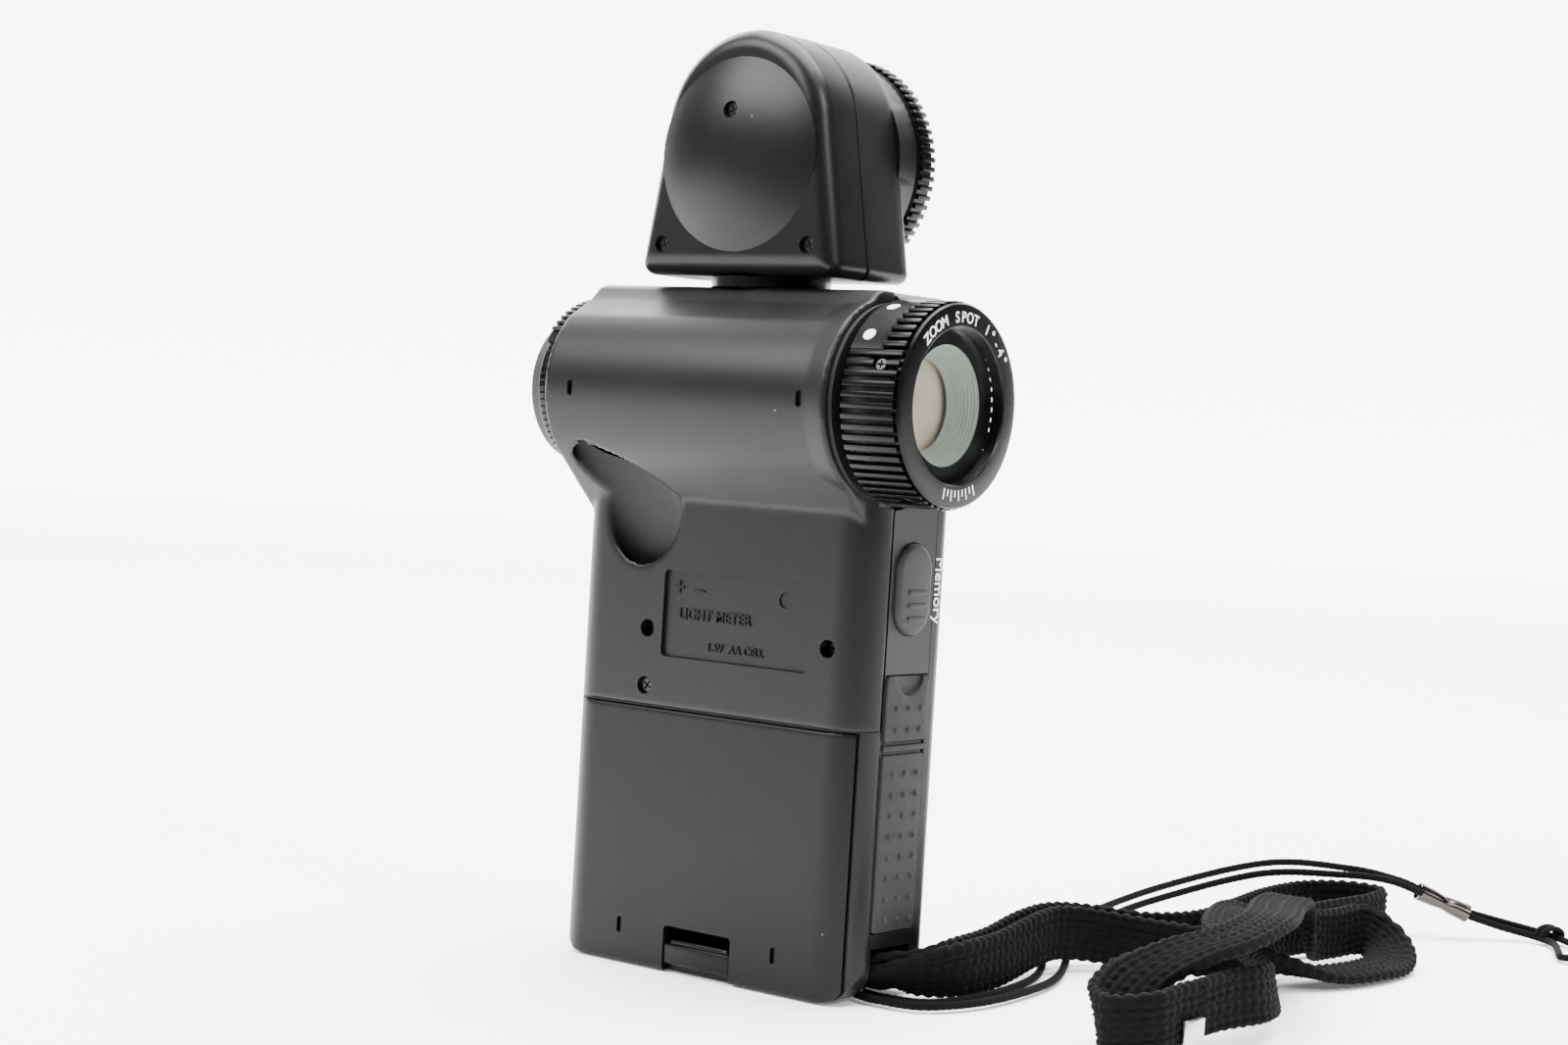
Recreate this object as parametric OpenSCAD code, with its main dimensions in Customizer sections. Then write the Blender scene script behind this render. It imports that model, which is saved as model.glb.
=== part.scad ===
// Handheld light meter: zoom spot tube through the shoulder, swivelling incident head on top,
// battery cover in the back, rubber grip with a socket flap on the lens side, braided neck strap.
// Millimetres. +Z up, +X out of the objective, -Y out of the back, +Y out of the display face.
// The origin is on the base, on the axis that the head turns about.

/* [Body] */
// Left side of the body, where the eyepiece is
body_left = -31.2; // [-32:0.1:-31]
// Right side of the body, where the objective is
body_right = 32.4; // [32:0.1:32.8]
// Height of the body to its top deck
body_top = 117.3; // [117:0.1:118]
// Plane of the flat back
back_y = -11.3; // [-11.6:0.1:-11.2]
// Plane of the display face
front_y = 12.1; // [12:0.1:12.6]
// Wall thickness of the housings
wall = 1.8; // [1.6:0.1:2]

/* [Barrel] */
// Radius of the barrel bulge on the back housing
barrel_r = 16.8; // [16.6:0.1:17]
// Outer radius of the zoom ring
zoom_ring_r = 16.9; // [16.7:0.1:17.2]
// Number of grooves round the zoom ring
zoom_grooves = 60; // [48:4:72]

/* [Head] */
// Half width of the head at its foot
head_half_w = 21.3; // [20.5:0.1:22]
// Radius of the round top of the head
head_top_r = 17.4; // [17:0.1:18]
// Outer radius of the ring round the dome
dome_ring_r = 19.4; // [19:0.1:20]
// Outer radius of the light dome
dome_r = 12.6; // [12:0.1:12.8]

/* [Strap] */
// Width of the flat braid
braid_w = 10; // [9:0.5:10]
// Thickness of the flat braid
braid_t = 2.4; // [2:0.1:2.6]
// Diameter of the thin loop cord
cord_d = 1.5; // [1.2:0.1:1.6]

/* [Hidden] */
$fn = 64;

gap = 0.15;                         // the seam between two shells
seam_back = -4.9;                   // back housing ends, middle frame begins
seam_front = 7.6;                   // middle frame ends, front housing begins
body_w = body_right - body_left;
body_mid = (body_left + body_right) / 2;
foot_r = 6;                         // the bottom corners, seen from the back
shoulder_r = 5;                     // the top corners, seen from the back
edge_r = seam_back - back_y;        // the upright edges of the back
face_r = 3;                         // the edges of the display face
barrel_y = -5.8;
barrel_z = 99;
lens_end = 30;                      // the collar behind the zoom ring
door_top = 44.7;
door_inner = -8.9;                  // how far in the battery cover reaches
side_wall = 2.4;
grip_low = 11.5;
grip_split = 43.3;
grip_high = 54.3;
grip_back = -4.4;
grip_front = 7.4;
grip_proud = 0.5;
button_y = 1.25;
lug_top = 8.9;
head_foot = 119.2;
head_top_z = 143.4;
head_back = -11.3;
head_seam = -1.3;
head_front = 11.7;
dome_z = 140;
black = "#1c1c1e";
dark = "#2a2a2c";
rubber = "#3c3d40";
steel = "#b9babd";
glass = "#9fb0ac";
white = "#f2f1ec";

// ---- helpers ---------------------------------------------------------------

// A cylinder along +X from x0 to x1 round (y, z).
module along_x(x0, x1, r, y = barrel_y, z = barrel_z, r2 = -1) {
    translate([x0, y, z]) rotate([0, 90, 0])
        cylinder(h = x1 - x0, r1 = r, r2 = r2 < 0 ? r : r2);
}

// A tube along +X.
module tube_x(x0, x1, r_out, r_in) {
    difference() {
        along_x(x0, x1, r_out);
        along_x(x0 - 1, x1 + 1, r_in);
    }
}

// A cylinder along +Y from y0 to y1 round (x, z).
module along_y(y0, y1, r, x = 0, z = dome_z, r2 = -1) {
    translate([x, y1, z]) rotate([90, 0, 0])
        cylinder(h = y1 - y0, r1 = r2 < 0 ? r : r2, r2 = r);
}

// A box given by its two corners.
module span(a, b) {
    translate(a) cube(b - a);
}

// The 2D shape drawn on (x, z), as a solid from y0 to y1.
module slab_y(y0, y1) {
    translate([0, y1, 0]) rotate([90, 0, 0]) linear_extrude(y1 - y0) children();
}

// The 2D shape drawn on (y, z), as a solid from x0 to x1.
module slab_x(x0, x1) {
    translate([x0, 0, 0]) rotate([90, 0, 90]) linear_extrude(x1 - x0) children();
}

// A rectangle with its own radius for the two low and the two high corners.
module soft_rect(x0, x1, z0, z1, low_r, high_r) {
    union() {
        translate([x0 + low_r, z0]) square([x1 - x0 - 2 * low_r, low_r + 0.01]);
        translate([x0 + high_r, z1 - high_r - 0.01]) square([x1 - x0 - 2 * high_r, high_r + 0.01]);
        translate([x0, z0 + low_r]) square([x1 - x0, z1 - z0 - low_r - high_r]);
        for (x = [x0 + low_r, x1 - low_r]) translate([x, z0 + low_r]) circle(low_r);
        for (x = [x0 + high_r, x1 - high_r]) translate([x, z1 - high_r]) circle(high_r);
    }
}

// A rectangle whose two low corners are round.
module round_foot(x0, x1, z0, z1, r) {
    union() {
        translate([x0 + r, z0]) square([x1 - x0 - 2 * r, z1 - z0]);
        translate([x0, z0 + r]) square([x1 - x0, z1 - z0 - r]);
        for (x = [x0 + r, x1 - r]) translate([x, z0 + r]) circle(r);
    }
}

// A slot with round ends, centred, upright.
module stadium(w, h) {
    union() {
        for (s = [-1, 1]) translate([0, s * (h - w) / 2]) circle(w / 2);
        square([w, h - w], center = true);
    }
}

// The outline of the body as seen from the back, drawn in by a wall.
module body_outline(inset = 0) {
    soft_rect(body_left + inset, body_right - inset, inset, body_top - inset,
        foot_r - inset, shoulder_r - inset);
}

// A small cross-head screw pointing along +Y, its head flush at y.
module screw_y(x, y, z, head_r = 1.35, length = 6) {
    translate([x, y, z]) rotate([-90, 0, 0]) difference() {
        union() {
            cylinder(h = 1, r = head_r, $fn = 32);
            cylinder(h = length, r = 0.75, $fn = 24);
        }
        for (a = [0, 90]) rotate([0, 0, a]) cube([1.7, 0.42, 1], center = true);
    }
}

// ---- housings --------------------------------------------------------------

// The body seen from above, between two y planes, with round upright edges.
module plan_back(inset = 0) {
    y0 = back_y + inset;
    r = edge_r - inset;
    linear_extrude(2 * body_top, center = true) union() {
        translate([body_left + inset, y0 + r]) square([body_w - 2 * inset, seam_back - y0 - r + 0.01]);
        translate([body_left + inset + r, y0]) square([body_w - 2 * inset - 2 * r, r + 0.01]);
        for (x = [body_left + inset + r, body_right - inset - r]) intersection() {
            translate([x, y0 + r]) circle(r);
            translate([x - r, y0]) square([2 * r, r + 0.01]);
        }
    }
}

// The round bulge with its 45 degree underside and the deck above it, on (y, z).
module barrel_profile(r) {
    low = (barrel_y + barrel_z) - r * sqrt(2);      // y + z along the underside
    deck_y = -8.8;
    union() {
        intersection() {
            translate([barrel_y, barrel_z]) circle(r, $fn = 96);
            translate([-40, 60]) square([40 + seam_back, 60]);
        }
        polygon([
            [barrel_y - r * sqrt(0.5), barrel_z - r * sqrt(0.5)],
            [back_y + 0.5, low - back_y - 0.5],
            [seam_back, low - seam_back - 8],
            [seam_back, barrel_z]]);
        deck = body_top - (barrel_r - r);
        polygon([
            [barrel_y - r * cos(62), barrel_z + r * sin(62)],
            [deck_y - 0.7, deck - 0.6], [deck_y + 0.6, deck], [seam_back, deck], [seam_back, barrel_z]]);
    }
}

module rear_outer() {
    union() {
        intersection() {
            plan_back();
            slab_y(back_y - 1, seam_back)
                round_foot(body_left, body_right, 0, 84, foot_r);
        }
        slab_x(body_left + 0.4, lens_end) barrel_profile(barrel_r);
        intersection() {                            // the collar that flares towards the zoom ring
            along_x(25.5, lens_end, barrel_r - 0.05, r2 = barrel_r + 0.55);
            span([20, -40, 60], [40, seam_back, 120]);
        }
    }
}

module rear_inner() {
    union() {
        intersection() {
            plan_back(wall);
            span([body_left + wall, back_y, door_top + wall], [body_right - wall, seam_back + 1, 86]);
        }
        slab_x(body_left + 2.2, lens_end - 1.4) barrel_profile(barrel_r - wall);
        along_x(body_left - 1, body_left + 3, 13.2);
        along_x(lens_end - 3, lens_end + 1, 14.2);
        span([body_left + 3, seam_back - 0.5, 78], [lens_end - 2, seam_back + 1, 114]);
    }
}

plate_left = -10.5;
plate_right = 21.1;
plate_low = 53.7;
plate_high = 68.6;
case_screw_at = [[-13.8, 58.2], [25.1, 58.2], [-13.8, 48.3]];

// The wedge that presses the thumb rest into the back.
module thumb_scoop() {
    slab_x(-24.6, -9.2) polygon([[-30, 91.5], [-17.6, 91.5], [-8.2, 81.5], [-11.5, 69.6], [-30, 69.6]]);
}

module rear_housing() {
    color(dark) difference() {
        union() {
            difference() {
                rear_outer();
                difference() {
                    rear_inner();
                    // solid behind the thumb rest
                    span([-29, -13, 66], [-3.5, seam_back, 87.2]);
                }
                // the battery cover's place, and the space of the cell bay
                span([-40, -13, -1], [40, door_inner + 0.15, door_top + 0.15]);
                slab_y(door_inner - 1, seam_back + 1) round_foot(body_left + wall,
                    body_right - wall, wall, door_top - 0.8, foot_r - wall);
            }
            // shelf that closes the cell bay
            span([body_left + 1, -7.4, 12], [body_right - 1, -6.2, door_top]);
        }
        slab_y(-9, -5) soft_rect(-28.6, 27.6, 15.6, 32.4, 1, 1);
        // rating plate recess, screw wells, mould marks
        slab_y(back_y - 1, back_y + 1.1) soft_rect(plate_left, plate_right, plate_low, plate_high, 0.8, 0.8);
        along_y(back_y, back_y + 1.5, 1.4, 15.4, 65.2);
        for (p = case_screw_at) along_y(back_y - 1, back_y + wall + 1, 1.53, p[0], p[1]);
        for (x = [-24.8, 24.7]) slab_y(barrel_y - barrel_r - 1, barrel_y - barrel_r + 0.9)
            translate([x, 98.7]) stadium(1.3, 2.7);
        thumb_scoop();
        // room for the zoom ring
        along_x(31.5, 40, 17.3);
    }
}

module front_housing() {
    color(dark) difference() {
        intersection() {
            slab_y(seam_front + gap, front_y) body_outline();
            // round edges all the way round the display face
            slab_x(body_left - 1, body_right + 1) union() {
                translate([0, 0]) square([front_y - face_r, body_top]);
                translate([0, face_r]) square([front_y, body_top - 2 * face_r]);
                for (z = [face_r, body_top - face_r]) translate([front_y - face_r, z]) circle(face_r);
            }
            linear_extrude(body_top) union() {
                translate([body_left, 0]) square([body_w, front_y - face_r]);
                translate([body_left + face_r, 0]) square([body_w - 2 * face_r, front_y]);
                for (x = [body_left + face_r, body_right - face_r])
                    translate([x, front_y - face_r]) circle(face_r);
            }
        }
        slab_y(0, front_y - wall) body_outline(wall);
        // the pocket round the zoom ring
        along_x(31.1, 40, 17.6);
        // display opening, keys, jog wheel and power switch
        slab_y(8, 20) soft_rect(-16.3, 27.3, 39.8, 79.2, 1.8, 1.8);
        for (x = key_x) slab_y(8, 20) translate([x, key_z]) rotate(90) stadium(5.3, 9.3);
        span([body_left - 2, 0, 49.6], [-19.6, 20, 55.9]);
        slab_y(8, 20) soft_rect(-7.2, 7.2, 13.3, 16.7, 0.5, 0.5);
    }
}

key_x = [-18, -6, 6, 18];
key_z = 28;

module mid_frame() {
    color(dark) union() {
        difference() {
            slab_y(seam_back + gap, seam_front) body_outline();
            difference() {
                slab_y(seam_back - 1, seam_front + 1) soft_rect(body_left + side_wall,
                    body_right - side_wall, wall, body_top - wall, 3, 2);
                // walls of the strap pocket stay
                span([22.6, -5, 0], [32, 8, lug_top + 1.2]);
            }
            // the pocket round the zoom ring, and the two bores of the tubes
            along_x(31.1, 40, 17.6);
            along_x(20, 40, 14.2);
            along_x(-40, -20, 12);
            // strap pocket, open to the side and below
            span([23.8, grip_back + 0.4, -1], [40, grip_front - 0.5, lug_top]);
            translate([27.2, 0, 4.2]) rotate([90, 0, 0]) cylinder(h = 40, r = 1.25, center = true);
            // seats for the grip, the socket and the side buttons
            span([body_right - 1.2, grip_back - 0.1, grip_low - 0.1], [40, grip_front, grip_high + 0.1]);
            along_x(20, 40, 3.25, button_y, 49);
            slab_x(20, 40) translate([button_y, 68.5]) stadium(9.7, 15.7);
            slab_x(-40, -20) translate([button_y, 70]) stadium(8.7, 14.7);
            // neck bore in the deck, jog wheel slot
            translate([0, 0, 110]) cylinder(h = 10, r = 3.7);
            span([body_left - 2, 0.4, 49.6], [-20, 10, 55.9]);
        }
    }
}

// ---- battery bay -----------------------------------------------------------

cell_y = -0.95;
cell_z = 24;
cell_x0 = -24.6;
cell_x1 = 24.7;

module battery_cover() {
    color(dark) difference() {
        intersection() {
            plan_back();
            slab_y(back_y - 1, door_inner) round_foot(body_left, body_right, 0, door_top, foot_r);
        }
        // latch recess, open below, and two mould marks
        slab_y(back_y - 1, back_y + 1.7) soft_rect(latch_x0, latch_x1, -2, 7.8, 0.4, 0.7);
        for (x = [-16.3, 17.6]) slab_y(back_y - 1, back_y + 0.9) translate([x, 6.4]) stadium(1.1, 2.7);
    }
}

latch_x0 = -6.2;
latch_x1 = 8.5;

module cover_latch() {
    color(black) difference() {
        slab_y(back_y + 0.15, back_y + 1.6) soft_rect(latch_x0 + 0.15, latch_x1 - 0.15, 1.2, 4.8, 0.3, 0.3);
        // finger edge along the top
        translate([0, back_y, 4.9]) rotate([45, 0, 0]) cube([40, 0.9, 0.9], center = true);
    }
}

module battery_holder() {
    color(black) difference() {
        span([-28.3, -7.2, 15.8], [27.3, 6.7, 32.2]);
        along_x(-27.3, 26.3, 7.5, cell_y, cell_z);
        span([-27.3, -12, cell_z - 7.5], [26.3, cell_y, cell_z + 7.5]);
    }
}

module battery_cell() {
    color(steel) union() {
        along_x(cell_x0, cell_x1 - 1, 7.15, cell_y, cell_z);
        along_x(cell_x1 - 1, cell_x1, 2.6, cell_y, cell_z);
    }
}

// A short conical coil pressed against the flat end of the cell.
spring_turns = 3;

module battery_spring() {
    function at(t) = let (r = 4.8 - 2.2 * t, a = 360 * spring_turns * t)
        [cell_x0 - 2.3 + 1.7 * t, cell_y + r * cos(a), cell_z + r * sin(a)];
    steps = 42;
    sides = 6;
    wire = 0.3;
    rings = [for (i = [0:steps]) let (p = at(i / steps), a = 360 * spring_turns * i / steps)
        [for (k = [0:sides - 1]) let (b = 360 * k / sides)
            p + wire * [sin(b), cos(b) * cos(a), cos(b) * sin(a)]]];
    color(steel) sweep(rings);
}

module battery_contact() {
    color(steel) union() {
        span([25.2, cell_y - 3.5, cell_z - 5], [25.9, cell_y + 3.5, cell_z + 5]);
        along_x(24.8, 25.3, 2.2, cell_y, cell_z);
    }
}

// A closed skin over rings of points, one after another.
module sweep(rings) {
    n = len(rings[0]);
    m = len(rings);
    polyhedron(
        points = [for (r = rings) each r],
        faces = concat(
            [[for (k = [0:n - 1]) k]],
            [for (i = [0:m - 2], k = [0:n - 1]) [i * n + k, (i + 1) * n + k, (i + 1) * n + (k + 1) % n]],
            [for (i = [0:m - 2], k = [0:n - 1]) [i * n + k, (i + 1) * n + (k + 1) % n, i * n + (k + 1) % n]],
            [[for (k = [n - 1:-1:0]) (m - 1) * n + k]]));
}

// ---- lens side: grip, socket flap, buttons ----------------------------------

dot_step = 3.48;

// One raised dot of the rubber.
module grip_dot(y, z) {
    translate([body_right + grip_proud - 0.05, y, z]) sphere(0.5, $fn = 12);
}

module grip_pad() {
    color(rubber) union() {
        slab_x(body_right - 1.1, body_right + grip_proud)
            soft_rect(grip_back, grip_front - 0.1, grip_low, 41.2, 0.5, 0.3);
        // the thin web and the ridge that the flap bends on
        span([body_right - 1.1, grip_back + 0.3, 41.1], [body_right - 0.1, grip_front - 0.4, grip_split - 0.1]);
        slab_x(body_right - 0.3, body_right + grip_proud)
            soft_rect(grip_back, grip_front - 0.1, 41.8, 42.7, 0.3, 0.3);
        for (i = [0:7], j = [-1:1]) grip_dot(1.95 + j * 3.45, 13.55 + i * dot_step);
    }
}

module sync_flap() {
    color(rubber) difference() {
        union() {
            slab_x(body_right - 1.05, body_right + grip_proud)
                soft_rect(grip_back, grip_front - 0.1, grip_split, grip_high, 0.4, 0.8);
            for (i = [0:1], j = [-1:1]) grip_dot(1.95 + j * 3.45, 45.1 + i * 3.6);
        }
        // thumbnail notch at the top
        along_x(body_right - 0.3, 40, 3.7, 2.1, grip_high);
    }
}

module sync_socket() {
    color(steel) difference() {
        along_x(25, 31, 3.1, button_y, 49);
        along_x(26.5, 32, 1.75, button_y, 49);
    }
}

module memory_button() {
    color(rubber) difference() {
        union() {
            slab_x(29.6, 33.1) translate([button_y, 68.5]) stadium(9.4, 15.4);
            slab_x(33.05, 33.5) translate([button_y, 68.5]) stadium(8, 14);
            slab_x(28.6, 29.65) translate([button_y, 68.5]) stadium(10.6, 16.6);
            for (z = [63.6, 65.8, 68]) along_rib(z);
        }
    }
}

// One cross rib on a side button.
module along_rib(z) {
    slab_x(33.4, 33.75) translate([button_y + 0.4, z]) rotate(90) stadium(0.9, 5);
}

module measuring_button() {
    color(rubber) union() {
        slab_x(-32.4, -28.6) translate([button_y, 70]) stadium(8.4, 14.4);
        slab_x(-32.9, -32.35) translate([button_y, 70]) stadium(7, 13);
        slab_x(-28.65, -27.6) translate([button_y, 70]) stadium(9.6, 15.6);
    }
}

// ---- the zoom tube -----------------------------------------------------------

module lens_mount() {
    color(black) union() {
        tube_x(6, 41.2, 13.6, 12.6);
        tube_x(lens_end + 0.1, 31.0, 16.3, 13.5);
    }
}

ring_screw_angles = [69.4, 159.4, 249.4, 339.4];

// Turns children from straight up (+Z) round the barrel axis, towards the back.
module round_barrel(a) {
    translate([0, barrel_y, barrel_z]) rotate([a - 90, 0, 0]) children();
}

module zoom_ring() {
    smooth_from = 78;               // the plain stretch with the two dots
    smooth_to = 150;
    color(black) difference() {
        tube_x(31.8, 43.6, zoom_ring_r, 13.8);
        along_x(41.4, 44, 14.7);
        for (i = [0:zoom_grooves - 1]) {
            a = i * 360 / zoom_grooves + 2.4;
            start = a > smooth_from && a < smooth_to ? 39.1 : 33.4;
            round_barrel(a) translate([start, -0.42, zoom_ring_r - 0.75]) cube([43.2 - start, 0.84, 2]);
        }
        for (a = ring_screw_angles) round_barrel(a) translate([39.6, 0, 13])
            cylinder(h = 6, r = 1.15, $fn = 24);
    }
}

module ring_screws() {
    color(black) for (a = ring_screw_angles) round_barrel(a) translate([39.6, 0, 14])
        cylinder(h = 2.2, r = 1.05, $fn = 24);
}

module name_ring() {
    color(black) translate([0, barrel_y, barrel_z]) rotate([0, 90, 0]) rotate_extrude($fn = 96)
        polygon([[13.4, 41.6], [14.5, 41.6], [14.5, 43.7], [16.5, 43.7], [16.5, 44.0],
            [16.3, 44.3], [15.9, 44.5], [12.9, 44.5], [12.7, 44.3], [12.7, 42.5], [13.4, 42.5]]);
}

module front_glass() {
    color(glass) along_x(41.65, 42.45, 13.3);
}

// Stepped cone that stops stray light, widest at the front.
module lens_baffle() {
    steps = 8;
    color(black) translate([0, barrel_y, barrel_z]) rotate([0, 90, 0]) rotate_extrude($fn = 72)
        polygon(concat([[12.4, 36.4], [12.4, 41.1]], [for (i = [0:steps - 1], s = [0, 1])
            [9.7 - (i + s) * 2.2 / steps, 41.1 - i * 4.4 / steps]], [[7.5, 36.4]]));
}

// A round lens: two spherical faces of radius bend, drawn as short cones, on a rim.
module lens_x(x, r, rim, bend) {
    steps = 8;
    function sag(q) = sqrt(bend * bend - q * q) - sqrt(bend * bend - r * r);
    translate([x, barrel_y, barrel_z]) rotate([0, 90, 0]) rotate_extrude($fn = 96)
        polygon(concat(
            [for (i = [0:steps]) let (q = r * i / steps) [q, -rim / 2 - sag(q)]],
            [for (i = [steps:-1:0]) let (q = r * i / steps) [q, rim / 2 + sag(q)]]));
}

module objective_lens() {
    color(glass) lens_x(33.2, 12.3, 1.4, 50);
}

module zoom_carrier() {
    color(black) tube_x(16, 22, 12.4, 9.2);
}

module zoom_lens() {
    color(glass) lens_x(19, 9, 1.4, 30);
}

module finder_prism() {
    color(glass) translate([-10, barrel_y - 7, barrel_z - 7]) cube([14, 14, 14]);
}

module spot_sensor() {
    color(black) union() {
        span([-8, barrel_y - 5, barrel_z - 9.4], [2, barrel_y + 5, barrel_z - 8.2]);
        span([-5.5, barrel_y - 2.5, barrel_z - 8.3], [-0.5, barrel_y + 2.5, barrel_z - 7.2]);
    }
}

module eyepiece_tube() {
    color(black) tube_x(-36.4, -14, 11.6, 9.4);
}

// Fine ribs all round, and a raised coarse grip with an end tab.
module diopter_ring() {
    coarse_from = 52;
    coarse_to = 138;
    color(black) difference() {
        union() {
            tube_x(-34.7, -31.4, 14.2, 11.85);
            intersection() {
                tube_x(-34.0, -31.6, 16, 14);
                round_wedge(coarse_from, 150);
            }
        }
        for (i = [0:71]) if (i * 5 < coarse_from - 3 || i * 5 > 153)
            round_barrel(i * 5) translate([-34, -0.3, 13.8]) cube([2, 0.6, 2]);
        for (i = [0:14]) round_barrel(coarse_from + 2 + i * (coarse_to - coarse_from) / 14)
            translate([-35, -0.45, 15.2]) cube([4, 0.9, 2]);
    }
}

// A wedge round the barrel axis between two angles that differ by less than 180 degrees.
module round_wedge(a0, a1) {
    reach = 40;
    mid = (a0 + a1) / 2;
    translate([0, barrel_y, barrel_z]) rotate([90, 0, 90]) linear_extrude(120, center = true)
        polygon([[0, 0], for (a = [a0, mid, a1]) [reach * cos(a), reach * sin(a)]]);
}

module eyecup() {
    color(black) translate([0, barrel_y, barrel_z]) rotate([0, -90, 0]) rotate_extrude($fn = 96)
        polygon([[11.85, 34.8], [13.6, 34.8], [13.0, 37.1], [12.6, 37.6], [11.9, 37.7],
            [8, 36.9], [8, 36.5], [11.2, 36.6], [11.85, 36.6]]);
}

module eyepiece_lens() {
    color(glass) lens_x(-31, 9.2, 1.6, 26);
}

// ---- the swivel head ---------------------------------------------------------

// The arch of the head on (x, z), drawn in by inset.
module head_arch(inset = 0) {
    foot_corner = 2;
    hull() {
        translate([0, head_top_z]) circle(head_top_r - inset, $fn = 64);
        for (s = [-1, 1]) translate([s * (head_half_w - foot_corner - max(0, inset - 1)), head_foot + foot_corner + max(0, inset - 1)])
            circle(max(1, foot_corner - inset), $fn = 32);
    }
}

// One thin slice of the head, for hull.
module head_slice(y, inset) {
    slab_y(y, y + 0.05) head_arch(inset);
}

bulge_r = 16.4;
bulge_h = 3.3;
bulge_z = 139.5;
head_screw_at = [[-15.7, head_back + 1.2, 124.3], [15.7, head_back + 1.2, 124.3], [0, head_back - 1.6, 146.7]];

// The shallow dome on the back of the head, drawn as short cones.
module head_bulge() {
    steps = 8;
    bend = (bulge_r * bulge_r + bulge_h * bulge_h) / (2 * bulge_h);
    translate([0, head_back, bulge_z]) rotate([90, 0, 0]) rotate_extrude($fn = 96)
        polygon(concat([[0, -1.5], [bulge_r, -1.5]], [for (i = [steps:-1:0])
            let (q = bulge_r * i / steps) [q, sqrt(bend * bend - q * q) - bend + bulge_h]]));
}

module head_rear_shell() {
    color(dark) difference() {
        union() {
            hull() {
                head_slice(head_back, 2.8);
                head_slice(head_back + 1, 1.0);
                head_slice(head_back + 3.4, 0);
                head_slice(head_seam - 0.05, 0);
            }
            head_bulge();
        }
        difference() {
            slab_y(head_back + 3, head_seam + 1) head_arch(2);
            for (p = head_screw_at) along_y(head_back, 2, 2.4, p[0], p[2]);
        }
        for (p = head_screw_at) {
            along_y(head_back - 5, p[1] + 0.05, 1.45, p[0], p[2]);
            along_y(head_back - 5, 3, 0.85, p[0], p[2]);
        }
        translate([0, 0, head_foot - 1]) cylinder(h = 4, r = 6.2);
    }
}

module head_front_shell() {
    color(dark) difference() {
        union() {
            hull() {
                head_slice(head_seam + gap, 0);
                head_slice(head_front - 3.5, 0.1);
                head_slice(head_front - 0.6, 0.8);
                head_slice(head_front - 0.05, 1.4);
            }
            along_y(9.5, 14.9, 18.7);
            along_y(14, 18.5, 15.9);
        }
        slab_y(head_seam - 1, 3) head_arch(2);
        along_y(4.4, 20, 14.4);
        along_y(2, 6, 1.88);
        translate([0, 0, head_foot - 1]) cylinder(h = 4, r = 6.2);
    }
}

module head_neck() {
    color(black) difference() {
        union() {
            translate([0, 0, body_top + 0.1]) cylinder(h = head_foot - body_top - 0.2, r = 10.3);
            translate([0, 0, 112.6]) cylinder(h = 8, r = 3.6);
            translate([0, 0, head_foot - 0.2]) cylinder(h = 3.6, r = 6);
        }
        translate([0, 0, 111]) cylinder(h = 13, r = 2.2);
        // groove for the clip
        translate([0, 0, 113.9]) difference() {
            cylinder(h = 1, r = 4);
            cylinder(h = 1, r = 3.1);
        }
    }
}

module swivel_clip() {
    color(steel) translate([0, 0, 114]) difference() {
        cylinder(h = 0.8, r = 5.6);
        translate([0, 0, -1]) cylinder(h = 3, r = 3.15);
        translate([-1.4, 0, -1]) cube([2.8, 8, 3]);
    }
}

module head_screws() {
    color(black) for (p = head_screw_at) screw_y(p[0], p[1] + 0.1, p[2], 1.35, 5);
}

dome_ribs = 72;

module dome_ring() {
    color(black) difference() {
        union() {
            along_y(15.1, 19.7, dome_ring_r - 0.5);
            for (i = [0:dome_ribs - 1]) translate([0, 0, dome_z]) rotate([0, i * 360 / dome_ribs, 0])
                span([-0.5, 15.1, dome_ring_r - 0.8], [0.5, 19.2, dome_ring_r]);
        }
        along_y(14, 18.8, 16.1);
        along_y(14, 20, 13.2);
    }
}

dome_back = 8.5;

module dome() {
    color(white) union() {
        difference() {
            translate([0, dome_back, dome_z]) sphere(dome_r, $fn = 96);
            translate([0, dome_back, dome_z]) sphere(dome_r - 1.2, $fn = 96);
            span([-20, dome_back - 20, dome_z - 20], [20, dome_back, dome_z + 20]);
        }
        difference() {
            along_y(dome_back - 1, dome_back + 0.05, 13.8);
            along_y(dome_back - 2, dome_back + 1, dome_r - 1.2);
        }
    }
}

module dome_carrier() {
    color(black) difference() {
        along_y(5.4, dome_back - 1.05, 14.2);
        along_y(4, 9, 2);
    }
}

module incident_sensor() {
    color("#3a2a20") union() {
        along_y(dome_back - 1, dome_back + 0.6, 6.5);
        along_y(3.6, dome_back - 0.9, 1.8);
    }
}

// ---- display face --------------------------------------------------------------

module lcd_window() {
    color(glass) slab_y(10.6, front_y - 0.2) soft_rect(-16.1, 27.1, 40, 79, 1.6, 1.6);
}

module lcd_module() {
    color("#8d9a86") span([-14.5, 8.4, 42], [25.5, 10.4, 77]);
}

module main_board() {
    color("#1e4a2c") difference() {
        span([-27, 6.9, 16], [27.4, 8.0, 80]);
        span([-40, 6, 48.6], [-18.4, 9, 56.9]);
    }
}

module key_mat() {
    color(rubber) span([-24.5, 8.15, 23], [24.5, 8.7, 33]);
}

module front_key(x) {
    color(rubber) union() {
        slab_y(9.6, 12.9) translate([x, key_z]) rotate(90) stadium(5, 9);
        slab_y(9.6, 10.2) translate([x, key_z]) rotate(90) stadium(6.2, 10.2);
    }
}

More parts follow.
